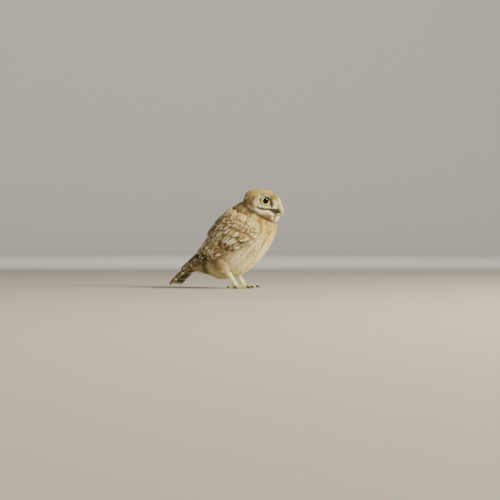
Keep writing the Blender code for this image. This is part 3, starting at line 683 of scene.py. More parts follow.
def coat_tree():
    """Scatters a blade over a skin, upright to it and turned along the attribute called lie."""
    tree = bpy.data.node_groups.new("Coat", "GeometryNodeTree")
    sockets = (
        ("Geometry", "NodeSocketGeometry"), ("Blade", "NodeSocketObject"), ("Where", "NodeSocketString"),
        ("Spacing", "NodeSocketFloat"), ("Closeness", "NodeSocketFloat"), ("Length", "NodeSocketFloat"),
        ("Width", "NodeSocketFloat"), ("Lift", "NodeSocketFloat"), ("Stray", "NodeSocketFloat"),
        ("Seed", "NodeSocketInt"), ("Finish", "NodeSocketMaterial"),
    )
    for name, kind in sockets:
        tree.interface.new_socket(name, in_out="INPUT", socket_type=kind)
    tree.interface.new_socket("Geometry", in_out="OUTPUT", socket_type="NodeSocketGeometry")
    given = add(tree, "NodeGroupInput").outputs
    share = add(tree, "GeometryNodeInputNamedAttribute", {"Name": given["Where"]}, data_type="FLOAT")
    scattered = add(
        tree, "GeometryNodeDistributePointsOnFaces",
        {"Mesh": given["Geometry"], "Distance Min": given["Spacing"], "Density Max": given["Closeness"],
         "Density Factor": share.outputs["Attribute"], "Seed": given["Seed"]},
        distribute_method="POISSON",
    )
    place = add(tree, "GeometryNodeInputPosition")
    rooted = add(
        tree, "GeometryNodeStoreNamedAttribute",
        {"Geometry": scattered.outputs["Points"], "Name": "root", "Value": place},
        data_type="FLOAT_VECTOR", domain="POINT",
    )
    tone = add(tree, "FunctionNodeRandomValue", {2: 0.0, 3: 1.0, "Seed": given["Seed"]}, data_type="FLOAT")
    toned = add(
        tree, "GeometryNodeStoreNamedAttribute",
        {"Geometry": rooted, "Name": "tone", "Value": tone.outputs[1]}, data_type="FLOAT", domain="POINT",
    )
    lie = add(tree, "GeometryNodeInputNamedAttribute", {"Name": "lie"}, data_type="FLOAT_VECTOR")
    facing = add(
        tree, "FunctionNodeAxesToRotation",
        {"Primary Axis": scattered.outputs["Normal"], "Secondary Axis": lie.outputs["Attribute"]},
        primary_axis="Z", secondary_axis="Y",
    )
    low_lift = add(tree, "ShaderNodeMath", {0: given["Lift"], 1: 0.6}, operation="MULTIPLY")
    high_lift = add(tree, "ShaderNodeMath", {0: given["Lift"], 1: 1.4}, operation="MULTIPLY")
    other_way = add(tree, "ShaderNodeMath", {0: given["Stray"], 1: -1.0}, operation="MULTIPLY")
    low = add(tree, "ShaderNodeCombineXYZ", {0: low_lift, 1: other_way, 2: other_way})
    high = add(tree, "ShaderNodeCombineXYZ", {0: high_lift, 1: given["Stray"], 2: given["Stray"]})
    wobble = add(
        tree, "FunctionNodeRandomValue", {0: low, 1: high, "Seed": given["Seed"]}, data_type="FLOAT_VECTOR",
    )
    turn = add(tree, "FunctionNodeEulerToRotation", {"Euler": wobble})
    turned = add(
        tree, "FunctionNodeRotateRotation", {"Rotation": facing, "Rotate By": turn}, rotation_space="LOCAL",
    )
    size = add(tree, "GeometryNodeInputNamedAttribute", {"Name": "size"}, data_type="FLOAT")
    chance = add(tree, "FunctionNodeRandomValue", {2: 0.8, 3: 1.2, "Seed": given["Seed"]}, data_type="FLOAT")
    grown = add(tree, "ShaderNodeMath", {0: size, 1: chance.outputs[1]}, operation="MULTIPLY")
    long = add(tree, "ShaderNodeMath", {0: grown, 1: given["Length"]}, operation="MULTIPLY")
    wide = add(tree, "ShaderNodeMath", {0: grown, 1: given["Width"]}, operation="MULTIPLY")
    scale = add(tree, "ShaderNodeCombineXYZ", {0: wide, 1: long, 2: long})
    shape = add(tree, "GeometryNodeObjectInfo", {"Object": given["Blade"]})
    instances = add(
        tree, "GeometryNodeInstanceOnPoints",
        {"Points": toned, "Instance": shape.outputs["Geometry"], "Rotation": turned, "Scale": scale},
    )
    real = add(tree, "GeometryNodeRealizeInstances", {"Geometry": instances})
    finished = add(tree, "GeometryNodeSetMaterial", {"Geometry": real, "Material": given["Finish"]})
    add(tree, "NodeGroupOutput", {"Geometry": finished})
    return tree


def new_finish(name):
    """A new material, its tree of nodes and its shader."""
    made = bpy.data.materials.new(name)
    made.use_nodes = True
    return made, made.node_tree, made.node_tree.nodes["Principled BSDF"]


def feather_finish(name, sheen):
    """Keratin barbs: matt, with a soft sheen at grazing angles, paler towards each feather's tip."""
    made, tree, shader = new_finish(name)
    colour = add(tree, "ShaderNodeAttribute", attribute_name="plumage").outputs["Color"]
    tone = add(tree, "ShaderNodeAttribute", attribute_name="tone").outputs["Fac"]
    tuft = add(tree, "ShaderNodeUVMap", uv_map="tuft")
    across, along, _ = add(tree, "ShaderNodeSeparateXYZ", {0: tuft}).outputs
    from_root = add(tree, "ShaderNodeMapRange", {0: along, 1: 0.0, 2: 1.0, 3: 0.74, 4: 1.10})
    spread = add(tree, "ShaderNodeMapRange", {0: tone, 1: 0.0, 2: 1.0, 3: 0.84, 4: 1.12})
    light = add(tree, "ShaderNodeMath", {0: from_root, 1: spread}, operation="MULTIPLY")
    shaded = add(tree, "ShaderNodeVectorMath", {0: colour, "Scale": light}, operation="SCALE")
    # Barbs run out from the shaft at a slant. They are 0.3 to 1 mm apart here, by the length of the
    # tuft, which is coarser than real ones, so that they show.
    off_shaft = add(tree, "ShaderNodeMath", {0: across, 1: 0.5}, operation="SUBTRACT")
    either = add(tree, "ShaderNodeMath", {0: off_shaft}, operation="ABSOLUTE")
    slant = add(tree, "ShaderNodeMath", {0: along, 1: either}, operation="SUBTRACT")
    ridge = add(tree, "ShaderNodeMath", {0: slant, 1: 70.0}, operation="MULTIPLY")
    wave = add(tree, "ShaderNodeMath", {0: ridge}, operation="SINE")
    bumped = add(tree, "ShaderNodeBump", {"Strength": 0.25, "Distance": 0.0001, "Height": wave})
    give(shader, {
        "Base Color": shaded, "Normal": bumped, "Roughness": 0.82, "IOR": 1.45,
        "Specular IOR Level": 0.25, "Sheen Weight": sheen, "Sheen Roughness": 0.5,
    })
    return made


# The skin itself shows only between the tufts, so its material is that of the down at their roots.
under_down, down_tree, down_shader = new_finish("under down")
down_colour = add(down_tree, "ShaderNodeAttribute", attribute_name="plumage").outputs["Color"]
deeper = add(down_tree, "ShaderNodeVectorMath", {0: down_colour, "Scale": 0.72}, operation="SCALE")
down_place = add(down_tree, "ShaderNodeTexCoord").outputs["Object"]
fluff = add(down_tree, "ShaderNodeTexNoise", {"Vector": down_place, "Scale": 900.0, "Detail": 3.0})
down_bump = add(down_tree, "ShaderNodeBump", {"Strength": 0.6, "Distance": 0.0006, "Height": fluff})
give(down_shader, {
    "Base Color": deeper, "Normal": down_bump, "Roughness": 0.95,
    "Specular IOR Level": 0.1, "Sheen Weight": 0.2,
})
skin.data.materials.clear()
skin.data.materials.append(under_down)

contour_feather = feather_finish("contour feather", 0.12)
soft_feather = feather_finish("soft feather", 0.22)

# Every tuft has a patch on one chart for the bake. These say where the head starts up the chart and how
# far it reaches, the same for the trunk with its reach for one station, and the feet's scale per metre.
HEAD_CHART, TRUNK_CHART, FOOT_CHART = (0.62, 0.36), (0.10, 0.06), (4.0, 2.4)
LAST_STATION, FOOT_TOP = 8.6, 0.035
PATCH, MARGIN = 0.003, 0.004


def chart(points):
    """The skin laid out flat from 0 to 1: the head's turn and roll above, the trunk's below."""
    way = unit(in_head(points))
    _, _, head_away = head_place(points)
    station, turn, trunk_away = trunk_place(points)
    roll = np.arctan2(way[:, 1], way[:, 2]) / (2.0 * math.pi) + 0.5
    reach = np.arccos(np.clip(way[:, 0], -1.0, 1.0)) / math.pi
    x, y, z = points.T
    head = ((np.abs(head_away) < trunk_away) | (station < 0.0)) & (z > HEAD_BOTTOM)
    low = z < FOOT_TOP
    on_feet = x * FOOT_CHART[0] + 0.5 + 0.2 * np.sign(y)
    flat_u = np.where(head, roll, np.where(low, on_feet, (turn / 360.0 + 0.5) % 1.0))
    on_body = TRUNK_CHART[0] + TRUNK_CHART[1] * (LAST_STATION - station)
    flat_v = np.where(head, HEAD_CHART[0] + HEAD_CHART[1] * (1.0 - reach), on_body)
    flat_v = np.where(low & ~head, z * FOOT_CHART[1], flat_v)
    return np.stack((flat_u, flat_v), -1)


def bake_map(mesh):
    """Gives each tuft a small patch at its root's place on the chart, which the coat then fills."""
    flat = chart(values_of(mesh.attributes["root"].data, "vector"))
    low, high = flat.min(axis=0), flat.max(axis=0)
    flat = MARGIN + (flat - low) / (high - low) * (1.0 - 2.0 * MARGIN)
    corners = np.empty(len(mesh.loops), int)
    mesh.loops.foreach_get("vertex_index", corners)
    local = values_of(mesh.attributes["tuft"].data, "vector", 2)
    layer = mesh.uv_layers.new(name="OFBake")
    layer.data.foreach_set("uv", (flat[corners] + (local - 0.5) * PATCH).astype(np.float32).ravel())


coat = coat_tree()
LOWEST_TIP = 0.0002


def grow_coat(name, where, shape, finish, slot, **sizes):
    """One coat piece: its own mask, blade and sizes, scattered over the skin and made a plain mesh."""
    write_attribute(skin.data, name, "FLOAT", where)
    scatter = skin.modifiers.new(name, "NODES")
    scatter.node_group = coat
    given = dict(Blade=shape, Where=name, Finish=finish, **sizes)
    for item in coat.interface.items_tree:
        if item.in_out == "INPUT" and item.name in given:
            scatter[item.identifier] = given[item.name]
    bpy.context.view_layer.update()
    graph = bpy.context.evaluated_depsgraph_get()
    mesh = bpy.data.meshes.new_from_object(skin.evaluated_get(graph))
    skin.modifiers.clear()
    skin.data.attributes.remove(skin.data.attributes[name])
    mesh.name = name
    mesh.shade_smooth()
    bake_map(mesh)
    spots = values_of(mesh.vertices, "co")
    spots[:, 2] = np.maximum(spots[:, 2], LOWEST_TIP)
    mesh.vertices.foreach_set("co", spots.ravel())
    for extra in ("lie", "size", "root"):
        mesh.attributes.remove(mesh.attributes[extra])
    made = placed(name, mesh)
    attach(made, "root")


side_yaw, side_around = np.abs(yaw), np.abs(around)
local_bill = in_head(skin_points) - (0.0330, 0.0, -0.0060)
off_bill = np.linalg.norm(local_bill / (1.0, 0.75, 1.15), axis=1)
clear_of_bill = smooth(0.0034, 0.0046, off_bill)
# 1 is the edge of the lids. The back of the head lies in line with the eyes too, and keeps its coat.
clear_of_eye = (np.minimum(*eye_heights) > 1.13) | (side_yaw > 110.0)
in_face = smooth(26.0, 16.0, pitch - 6.0 * bump(side_yaw, 20.0, 20.0)) * smooth(100.0, 86.0, side_yaw)
head_coat = on_head * clear_of_bill * clear_of_eye
# Tufts are smaller on the face, behind the eye and on the toes, and larger on the thigh and the chin.
on_face = on_head * smooth(60.0, 10.0, side_yaw) * smooth(30.0, -10.0, pitch)
behind_eye = on_head * smooth(85.0, 60.0, side_yaw) * smooth(15.0, 22.0, pitch) * smooth(52.0, 34.0, pitch)
up_leg = on_leg * smooth(0.024, 0.036, skin_points[:, 2])
chin = on_head * bump(side_yaw, 0.0, 26.0) * bump(pitch, -40.0, 10.0)
size = (1.0 - 0.45 * on_face) * (1.0 - 0.45 * behind_eye)
size = size * (1.0 - 0.4 * on_toe) * (1.0 + 0.4 * up_leg) * (1.0 + 1.5 * chin)
write_attribute(skin.data, "size", "FLOAT", size)
under_wing = smooth(1.2, 1.6, place) * smooth(5.6, 4.9, place) * smooth(98.0, 88.0, side_around)

grow_coat(
    "face_coat", head_coat * in_face, bristle_blade, soft_feather, "pale plumage",
    Spacing=0.00026, Closeness=8.5e6, Length=0.0042, Width=0.0008, Lift=0.30, Stray=0.18, Seed=3,
)
grow_coat(
    "crown_coat", head_coat * (1.0 - in_face), contour_blade, contour_feather, "plumage",
    Spacing=0.00042, Closeness=3.1e6, Length=0.0050, Width=0.0013, Lift=0.17, Stray=0.14, Seed=4,
)
# The long feathers of the belly stop at the root of the thigh, which has a short coat of its own.
thigh_coat = smooth(0.0002, 0.0010, trunk_height) * (skin_points[:, 2] < LEG_TOP)
on_trunk = (1.0 - on_head) * (1.0 - thigh_coat)
nape = smooth(2.2, 1.6, place) * smooth(112.0, 96.0, side_around)
grow_coat(
    "nape_coat", on_trunk * nape, contour_blade, contour_feather, "plumage",
    Spacing=0.00080, Closeness=9.0e5, Length=0.0085, Width=0.0027, Lift=0.18, Stray=0.10, Seed=5,
)
below_nape = on_trunk * (1.0 - nape) * smooth(3.4, 3.0, place) * (1.0 - under_wing)
grow_coat(
    "breast_coat", below_nape, wisp_blade, soft_feather, "pale plumage",
    Spacing=0.00046, Closeness=2.1e6, Length=0.0092, Width=0.0018, Lift=0.15, Stray=0.14, Seed=6,
)
below_breast = on_trunk * smooth(3.0, 3.4, place) * smooth(7.9, 7.5, place) * (1.0 - under_wing)
grow_coat(
    "belly_coat", below_breast, wisp_blade, soft_feather, "pale plumage",
    Spacing=0.00056, Closeness=1.7e6, Length=0.0110, Width=0.0018, Lift=0.13, Stray=0.18, Seed=7,
)
grow_coat(
    "leg_coat", thigh_coat, bristle_blade, soft_feather, "shank feathering",
    Spacing=0.00038, Closeness=3.4e6, Length=0.0036, Width=0.0010, Lift=0.15, Stray=0.16, Seed=8,
)
for shape in (wisp_blade, contour_blade, bristle_blade):
    bpy.data.objects.remove(shape)
for extra in ("size", "lie"):
    skin.data.attributes.remove(skin.data.attributes[extra])
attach(skin, "root")
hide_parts("torso", "neck", "head", "thigh_left", "thigh_right", "shank_left", "shank_right")
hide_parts("foot_left", "foot_right")

# Vaned feathers. A flight feather, covert or scapular is a stiff vane on a shaft, thin and slightly
# bowed, and lies on the one before it like a roof tile. They are laid along the trunk's outline.

VANE_OUTLINE = np.array(
    (
        (0.0, 0.30), (0.10, 0.55), (0.28, 0.84), (0.50, 1.0), (0.70, 1.0),
        (0.82, 0.93), (0.90, 0.79), (0.95, 0.62), (0.98, 0.43), (1.0, 0.16),
    )
)
VANE_THICKNESS = 0.00022
BARB_SPACING, BARB_SLANT = 0.0006, 0.35


def grid_rows(count):
    """Where the rows of a vane lie along it: even along the blade and close at its round tip."""
    return np.concatenate((np.linspace(0.0, 0.82, count - 4), (0.90, 0.95, 0.98, 1.0)))


def lay_vanes(
    place, around, heading, length, width, root_lift, tip_lift, lean, rows, columns, cup=0.0004,
):
    """A row of feathers over the left side, as grids of points, with what their finish needs."""
    along, across = grid_rows(rows), np.linspace(-1.0, 1.0, columns)
    place, around = np.array(place, float), np.array(around, float)
    count = len(place)
    points = np.empty((count, rows, columns, 3))
    normals = np.empty((count, rows, columns, 3))
    for r in range(rows):
        if r:
            place, around = step_over(place, around, heading, length * (along[r] - along[r - 1]))
        half = width / 2.0 * np.interp(along[r], *VANE_OUTLINE.T)
        for c in range(columns):
            edge_place, edge_around = step_over(place, around, heading + 90.0, half * across[c])
            lift = root_lift + (tip_lift - root_lift) * along[r] + lean * across[c] - cup * across[c] ** 2
            points[:, r, c], normals[:, r, c] = trunk_point(edge_place, edge_around, lift)
    return points, normals, length, width


def tier(count, first, last):
    """Feathers spread evenly from the first of a tier to the last, by the values of both."""
    share = np.linspace(0.0, 1.0, count)
    return [a + (b - a) * share for a, b in zip(first, last)]


def batch(vanes, ground, spot, shape, tone):
    """Feathers with their finish, a line for each. A spot is the count, phase and strength of its rows.

    A shape is a spot's centre across the vane, one over its width and one over its length.
    """
    points, normals, length, width = vanes
    count = len(points)
    return dict(
        points=points, normals=normals, length=length, width=width,
        ground=np.tile(linear(ground), (count, 1)), spot=np.broadcast_to(spot, (count, 3)),
        shape=np.broadcast_to(shape, (count, 3)), tone=tone,
    )


def vane_piece(name, batches, side=1, thickness=VANE_THICKNESS):
    """All feathers of one piece as thin closed shells, with a bake patch and finish values for each."""
    points, faces, corner_uvs = [], [], []
    values = {key: [] for key in ("ground", "spot", "shape", "tone", "across", "along", "barb")}
    total = sum(len(b["points"]) for b in batches)
    cells = math.ceil(math.sqrt(total))
    start, cell = 0, 0
    for b in batches:
        count, rows, columns, _ = b["points"].shape
        along = grid_rows(rows)
        across = np.linspace(-1.0, 1.0, columns)
        grid_across, grid_along = np.meshgrid(across, along)
        flat_across, flat_along = grid_across.ravel(), grid_along.ravel()
        # The border runs once round the grid, so that the rim closes the shell.
        border = list(range(columns))
        border += [r * columns + columns - 1 for r in range(1, rows)]
        border += [(rows - 1) * columns + c for c in range(columns - 2, -1, -1)]
        border += [r * columns for r in range(rows - 2, 0, -1)]
        below = rows * columns
        for i in range(count):
            top = b["points"][i].reshape(-1, 3)
            bottom = top - b["normals"][i].reshape(-1, 3) * thickness
            shell = np.concatenate((top, bottom)) * (1.0, side, 1.0)
            points.append(shell)
            home = np.array((cell % cells, cell // cells), float)
            uv = (home + 0.06 + 0.88 * np.stack(((flat_across + 1.0) / 2.0, flat_along), -1)) / cells
            rim_uv = (home + 0.5) / cells + (uv - (home + 0.5) / cells) * 1.08
            for r in range(rows - 1):
                for c in range(columns - 1):
                    a = r * columns + c
                    quad = (a, a + 1, a + columns + 1, a + columns)
                    quad = quad if side > 0 else quad[::-1]
                    faces.append([start + v for v in quad])
                    corner_uvs.extend(uv[list(quad)])
                    faces.append([start + below + v for v in quad[::-1]])
                    corner_uvs.extend(uv[list(quad[::-1])])
            for a, d in zip(border, border[1:] + border[:1]):
                quad = (d, a, below + a, below + d)
                uvs = (uv[d], uv[a], rim_uv[a], rim_uv[d])
                if side < 0:
                    quad, uvs = quad[::-1], uvs[::-1]
                faces.append([start + v for v in quad])
                corner_uvs.extend(uvs)
            start += 2 * below
            cell += 1
            both_across, both_along = np.tile(flat_across, 2), np.tile(flat_along, 2)
            values["across"].append(both_across)
            values["along"].append(both_along)
            reach = both_along * b["length"][i] - np.abs(both_across) * b["width"][i] * BARB_SLANT
            values["barb"].append(reach / BARB_SPACING * 2.0 * math.pi)
            for key in ("ground", "spot", "shape"):
                values[key].append(np.tile(b[key][i], (2 * below, 1)))
            values["tone"].append(np.full(2 * below, b["tone"][i]))
    mesh = bpy.data.meshes.new(name)
    mesh.from_pydata([tuple(p) for p in np.concatenate(points)], [], faces)
    mesh.shade_smooth()
    layer = mesh.uv_layers.new(name="OFBake")
    layer.data.foreach_set("uv", np.array(corner_uvs, np.float32).ravel())
    write_attribute(mesh, "plumage", "FLOAT_COLOR", np.concatenate(values["ground"]))
    for key in ("spot", "shape"):
        write_attribute(mesh, key, "FLOAT_VECTOR", np.concatenate(values[key]))
    for key in ("tone", "across", "along", "barb"):
        write_attribute(mesh, key, "FLOAT", np.concatenate(values[key]))
    made = placed(name, mesh)
    mesh.materials.append(vaned_feather)
    return made


def vane_finish(name):
    """A stiff vane: brown keratin with cream spots in rows, each ringed darker, and a paler fringe."""
    made, tree, shader = new_finish(name)
    softly, mixed = dict(interpolation_type="SMOOTHSTEP"), dict(data_type="RGBA")
    ground = add(tree, "ShaderNodeAttribute", attribute_name="plumage").outputs["Color"]
    tone, across, along, barb = (
        add(tree, "ShaderNodeAttribute", attribute_name=given).outputs["Fac"]
        for given in ("tone", "across", "along", "barb")
    )
    spot, shape = (
        add(tree, "ShaderNodeAttribute", attribute_name=given).outputs["Vector"]
        for given in ("spot", "shape")
    )
    count, phase, strength = add(tree, "ShaderNodeSeparateXYZ", {0: spot}).outputs
    centre, per_width, per_length = add(tree, "ShaderNodeSeparateXYZ", {0: shape}).outputs
    off_shaft = add(tree, "ShaderNodeMath", {0: across}, operation="ABSOLUTE")
    off_spot = add(tree, "ShaderNodeMath", {0: across, 1: centre}, operation="SUBTRACT")
    du = add(tree, "ShaderNodeMath", {0: off_spot, 1: per_width}, operation="MULTIPLY")
    row = add(tree, "ShaderNodeMath", {0: along, 1: count, 2: phase}, operation="MULTIPLY_ADD")
    in_row = add(tree, "ShaderNodeMath", {0: row}, operation="FRACT")
    middle = add(tree, "ShaderNodeMath", {0: in_row, 1: 0.5}, operation="SUBTRACT")
    dv = add(tree, "ShaderNodeMath", {0: middle, 1: per_length}, operation="MULTIPLY")
    both = add(tree, "ShaderNodeCombineXYZ", {0: du, 1: dv})
    reach = add(tree, "ShaderNodeVectorMath", {0: both}, operation="LENGTH").outputs["Value"]
    place = add(tree, "ShaderNodeTexCoord").outputs["Object"]
    # Spots have ragged edges a barb or two wide.
    ragged = add(tree, "ShaderNodeTexNoise", {"Vector": place, "Scale": 700.0, "Detail": 2.0})
    rough = add(tree, "ShaderNodeMath", {0: ragged, 1: 1.3, 2: -0.65}, operation="MULTIPLY_ADD")
    uneven = add(tree, "ShaderNodeMath", {0: reach, 1: rough}, operation="ADD")
    wavy = add(tree, "ShaderNodeMath", {0: rough, 1: 0.12, 2: along}, operation="MULTIPLY_ADD")
    inside = add(tree, "ShaderNodeMapRange", {0: uneven, 1: 1.15, 2: 0.80, 3: 0.0, 4: 1.0}, **softly)
    mask = add(tree, "ShaderNodeMath", {0: inside, 1: strength}, operation="MULTIPLY")
    # Round the spots and before the tip the ground is darker.
    ring = add(tree, "ShaderNodeMapRange", {0: uneven, 1: 2.1, 2: 1.2, 3: 0.0, 4: 0.55}, **softly)
    near_spot = add(tree, "ShaderNodeMath", {0: ring, 1: strength}, operation="MULTIPLY")
    near_tip = add(tree, "ShaderNodeMapRange", {0: wavy, 1: 0.72, 2: 0.86, 3: 0.0, 4: 0.62}, **softly)
    ringed = add(tree, "ShaderNodeMath", {0: near_spot, 1: near_tip}, operation="MAXIMUM")
    blotch = add(tree, "ShaderNodeTexNoise", {"Vector": place, "Scale": 260.0, "Detail": 3.0})
    streaked = add(tree, "ShaderNodeMath", {0: tone, 1: blotch}, operation="ADD")
    light = add(tree, "ShaderNodeMapRange", {0: streaked, 1: 0.3, 2: 1.7, 3: 0.72, 4: 1.26})
    base = add(tree, "ShaderNodeVectorMath", {0: ground, "Scale": light}, operation="SCALE")
    dark = add(tree, "ShaderNodeMix", {0: ringed, 6: base, 7: opaque(DARK_BROWN)}, **mixed).outputs[2]
    spotted = add(tree, "ShaderNodeMix", {0: mask, 6: dark, 7: opaque(SPOT)}, **mixed).outputs[2]
    # The fringe runs along both edges and is widest at the tip.
    fringe = add(tree, "ShaderNodeMapRange", {0: off_shaft, 1: 0.74, 2: 1.0, 3: 0.0, 4: 0.6}, **softly)
    tip = add(tree, "ShaderNodeMapRange", {0: wavy, 1: 0.86, 2: 0.97, 3: 0.0, 4: 0.85}, **softly)
    wide = add(tree, "ShaderNodeMath", {0: fringe, 1: tip}, operation="MAXIMUM")
    edge = add(tree, "ShaderNodeMath", {0: wide, 1: strength}, operation="MULTIPLY")
    fringed = add(tree, "ShaderNodeMix", {0: edge, 6: spotted, 7: opaque(FRINGE)}, **mixed).outputs[2]
    shaft = add(tree, "ShaderNodeMapRange", {0: off_shaft, 1: 0.0, 2: 0.07, 3: 0.5, 4: 0.0})
    finished = add(tree, "ShaderNodeMix", {0: shaft, 6: fringed, 7: opaque(DARK_BROWN)}, **mixed)
    # Barbs are drawn 0.6 mm apart, which is twice as coarse as real ones, so that they show.
    wave = add(tree, "ShaderNodeMath", {0: barb}, operation="SINE")
    keel = add(tree, "ShaderNodeMapRange", {0: off_shaft, 1: 0.0, 2: 0.10, 3: 3.0, 4: 0.0})
    height = add(tree, "ShaderNodeMath", {0: wave, 1: keel}, operation="ADD")
    bumped = add(tree, "ShaderNodeBump", {"Strength": 0.35, "Distance": 0.00012, "Height": height})
    give(shader, {
        "Base Color": finished.outputs[2], "Normal": bumped, "Roughness": 0.68, "IOR": 1.45,
        "Specular IOR Level": 0.3, "Sheen Weight": 0.08,
    })
    return made


SPOT, FRINGE = "#FFF9DC", "#F4E4AC"
vaned_feather = vane_finish("vaned feather")

# Wings. Each folded wing shows nine primaries and eleven secondaries, six rows of coverts that get
# shorter up the wing, the small alula at its wrist, and the scapulars over its shoulder in two rows.


def wing_tiers():
    """All the tiers of the left wing, with their markings."""
    tiers = dict(
        # Each has its count, its first and last feather, rows, columns, lean and ground colour. A
        # feather is a station, angle, heading, length, width and the lift of its root and its tip.
        # Spots are a count, phase and strength, then their centre across the vane, width and length.
        # Ground colours run from pale gold on the shoulder to near black on the primaries: partly the
        # feathers' own colour, partly painted shade that deepens down the folded wing.
        primaries=(
            9,
            (4.75, 86, -15, 0.0800, 0.0105, 0.0013, 0.0013),
            (4.90, 52, -3, 0.0690, 0.0110, 0.0016, 0.0024),
            20, 7, 0.0003, "#3D2E1B", (5.0, 0.2, 0.6), (0.7, 0.30, 0.20),
        ),
        secondaries=(
            11,
            (3.45, 97, -12, 0.0540, 0.0130, 0.0018, 0.0028),
            (3.30, 17, 3, 0.0610, 0.0140, 0.0022, 0.0036),
            16, 7, 0.0004, "#A68B60", (3.0, 0.15, 0.8), (0.60, 0.30, 0.24),
        ),
        primary_coverts=(
            6,
            (3.15, 110, -16, 0.0300, 0.0090, 0.0020, 0.0030),
            (3.30, 80, -8, 0.0300, 0.0095, 0.0022, 0.0034),
            12, 5, 0.0003, "#917650", (1.0, 0.0, 0.8), (0.6, 0.34, 0.30),
        ),
        greater_coverts=(
            12,
            (2.50, 118, -22, 0.0340, 0.0115, 0.0022, 0.0042),
            (2.60, 30, 2, 0.0340, 0.0125, 0.0028, 0.0052),
            13, 7, 0.0004, "#B09566", (1.0, -0.26, 1.0), (0.58, 0.32, 0.20),
        ),
        alula=(
            3,
            (2.62, 126, -26, 0.0280, 0.0078, 0.0024, 0.0040),
            (2.48, 119, -24, 0.0240, 0.0085, 0.0028, 0.0046),
            12, 5, 0.0003, "#745B3A", (1.0, -0.2, 0.9), (0.6, 0.34, 0.22),
        ),
        median_coverts=(
            11,
            (2.05, 125, -18, 0.0250, 0.0115, 0.0026, 0.0056),
            (2.05, 38, 0, 0.0250, 0.0125, 0.0034, 0.0068),
            12, 7, 0.0004, "#C4A86E", (1.0, -0.28, 1.0), (0.56, 0.30, 0.22),
        ),
        lesser_coverts=(
            12,
            (1.80, 124, -14, 0.0170, 0.0100, 0.0028, 0.0060),
            (1.80, 36, 1, 0.0175, 0.0110, 0.0036, 0.0070),
            10, 5, 0.0003, "#CDB074", (1.0, -0.28, 0.8), (0.50, 0.30, 0.18),
        ),
        upper_coverts=(
            13,
            (1.55, 121, -12, 0.0140, 0.0090, 0.0024, 0.0060),
            (1.55, 34, 1, 0.0150, 0.0100, 0.0032, 0.0072),
            9, 5, 0.0003, "#D9BF80", (1.0, -0.28, 0.7), (0.45, 0.28, 0.14),
        ),
        shoulder_coverts=(
            13,
            (1.32, 114, -8, 0.0120, 0.0088, 0.0018, 0.0054),
            (1.30, 32, 1, 0.0135, 0.0095, 0.0026, 0.0066),
            9, 5, 0.0003, "#DEC588", (1.0, -0.28, 0.7), (0.45, 0.28, 0.14),
        ),
        scapulars=(
            6,
            (2.05, 46, -5, 0.0420, 0.0135, 0.0034, 0.0078),
            (2.35, 16, 0, 0.0430, 0.0135, 0.0024, 0.0048),
            14, 7, 0.0004, "#8F744A", (2.0, 0.1, 0.9), (0.55, 0.30, 0.22),
        ),
        upper_scapulars=(
            6,
            (1.50, 45, -4, 0.0300, 0.0125, 0.0040, 0.0082),
            (1.70, 15, 0, 0.0320, 0.0125, 0.0028, 0.0054),
            12, 7, 0.0004, "#A08455", (2.0, 0.1, 0.8), (0.55, 0.30, 0.22),
        ),
    )
    batches = []
    for count, first, last, rows, columns, lean, ground, spot, (centre, wide, long) in tiers.values():
        place, around, heading, length, width, root, tip = tier(count, first, last)
        place = place + rng.uniform(-0.11, 0.11, count)
        around = around + rng.uniform(-2.2, 2.2, count)
        heading = heading + rng.uniform(-5.0, 5.0, count)
        length = length * rng.uniform(0.88, 1.06, count)
        vanes = lay_vanes(place, around, heading, length, width, root, tip, lean, rows, columns)
        marks, shapes = np.tile(spot, (count, 1)), np.tile((centre, 1.0 / wide, 1.0 / long), (count, 1))
        marks[:, 1] += rng.uniform(-0.12, 0.12, count)
        marks[:, 2] *= rng.uniform(0.35, 1.0, count)
        shapes[:, 0] += rng.uniform(-0.20, 0.20, count)
        shapes[:, 1:] *= rng.uniform(0.70, 1.35, (count, 2))
        batches.append(batch(vanes, ground, marks, shapes, rng.uniform(0.0, 1.0, count)))
    return batches


left_tiers = wing_tiers()
for wing_name, side in (("wing_feathers_left", 1), ("wing_feathers_right", -1)):
    wing = vane_piece(wing_name, left_tiers, side)
    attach(wing, "root")
    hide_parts(wing_name.replace("_feathers", ""))

# Mantle and rump. The back between the wings is covered with rows of short round feathers, each row
# over the next and shifted by half a feather, as far as the roots of the tail.

ROW_SPACING, FEATHER_SPACING = 0.21, 0.0052
RUMP_START = 6.2


def mantle_rows():
    """Rows of small spotted feathers from the neck to the tail, wider over the rump."""
    batches = []
    for row, station in enumerate(np.arange(0.95, 8.05, ROW_SPACING)):
        reach = 58.0 if station < RUMP_START else 84.0
        _, per_degree = slopes(np.array([station]), np.array([20.0]))
        turn = FEATHER_SPACING / np.linalg.norm(per_degree)
        around = np.arange(-reach, reach + 0.1, turn) + (turn / 2.0 if row % 2 else 0.0)
        around = around + rng.uniform(-1.5, 1.5, len(around))
        count = len(around)
        place = np.full(count, station) + rng.uniform(-0.05, 0.05, count)
        heading = rng.uniform(-4.0, 4.0, count) - around * 0.04
        length = rng.uniform(0.0115, 0.0135, count)
        width = rng.uniform(0.0082, 0.0094, count)
        raised = np.maximum(bump(around, 0.0, 22.0), smooth(5.8, 6.8, station))
        root, tip = np.full(count, -0.0012), 0.0010 + 0.0014 * raised
        vanes = lay_vanes(place, around, heading, length, width, root, tip, 0.0002, 8, 5, 0.0003)
        pale = np.maximum(rng.uniform(-0.35, 0.95, count), 0.12)
        marks = np.stack((np.full(count, 1.0), rng.uniform(-0.34, -0.22, count), pale), -1)
        tone = rng.uniform(0, 1, count)
        batches.append(batch(vanes, "#755C3A", marks, (0.30, 1.0 / 0.36, 1.0 / 0.15), tone))
    return batches


mantle = vane_piece("mantle_feathers", mantle_rows(), 1, 0.00015)
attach(mantle, "root")
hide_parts("torso")

# Tail. Twelve stiff feathers lie fanned under one another, from the middle pair out, each brown with
# four or five narrow pale bars.

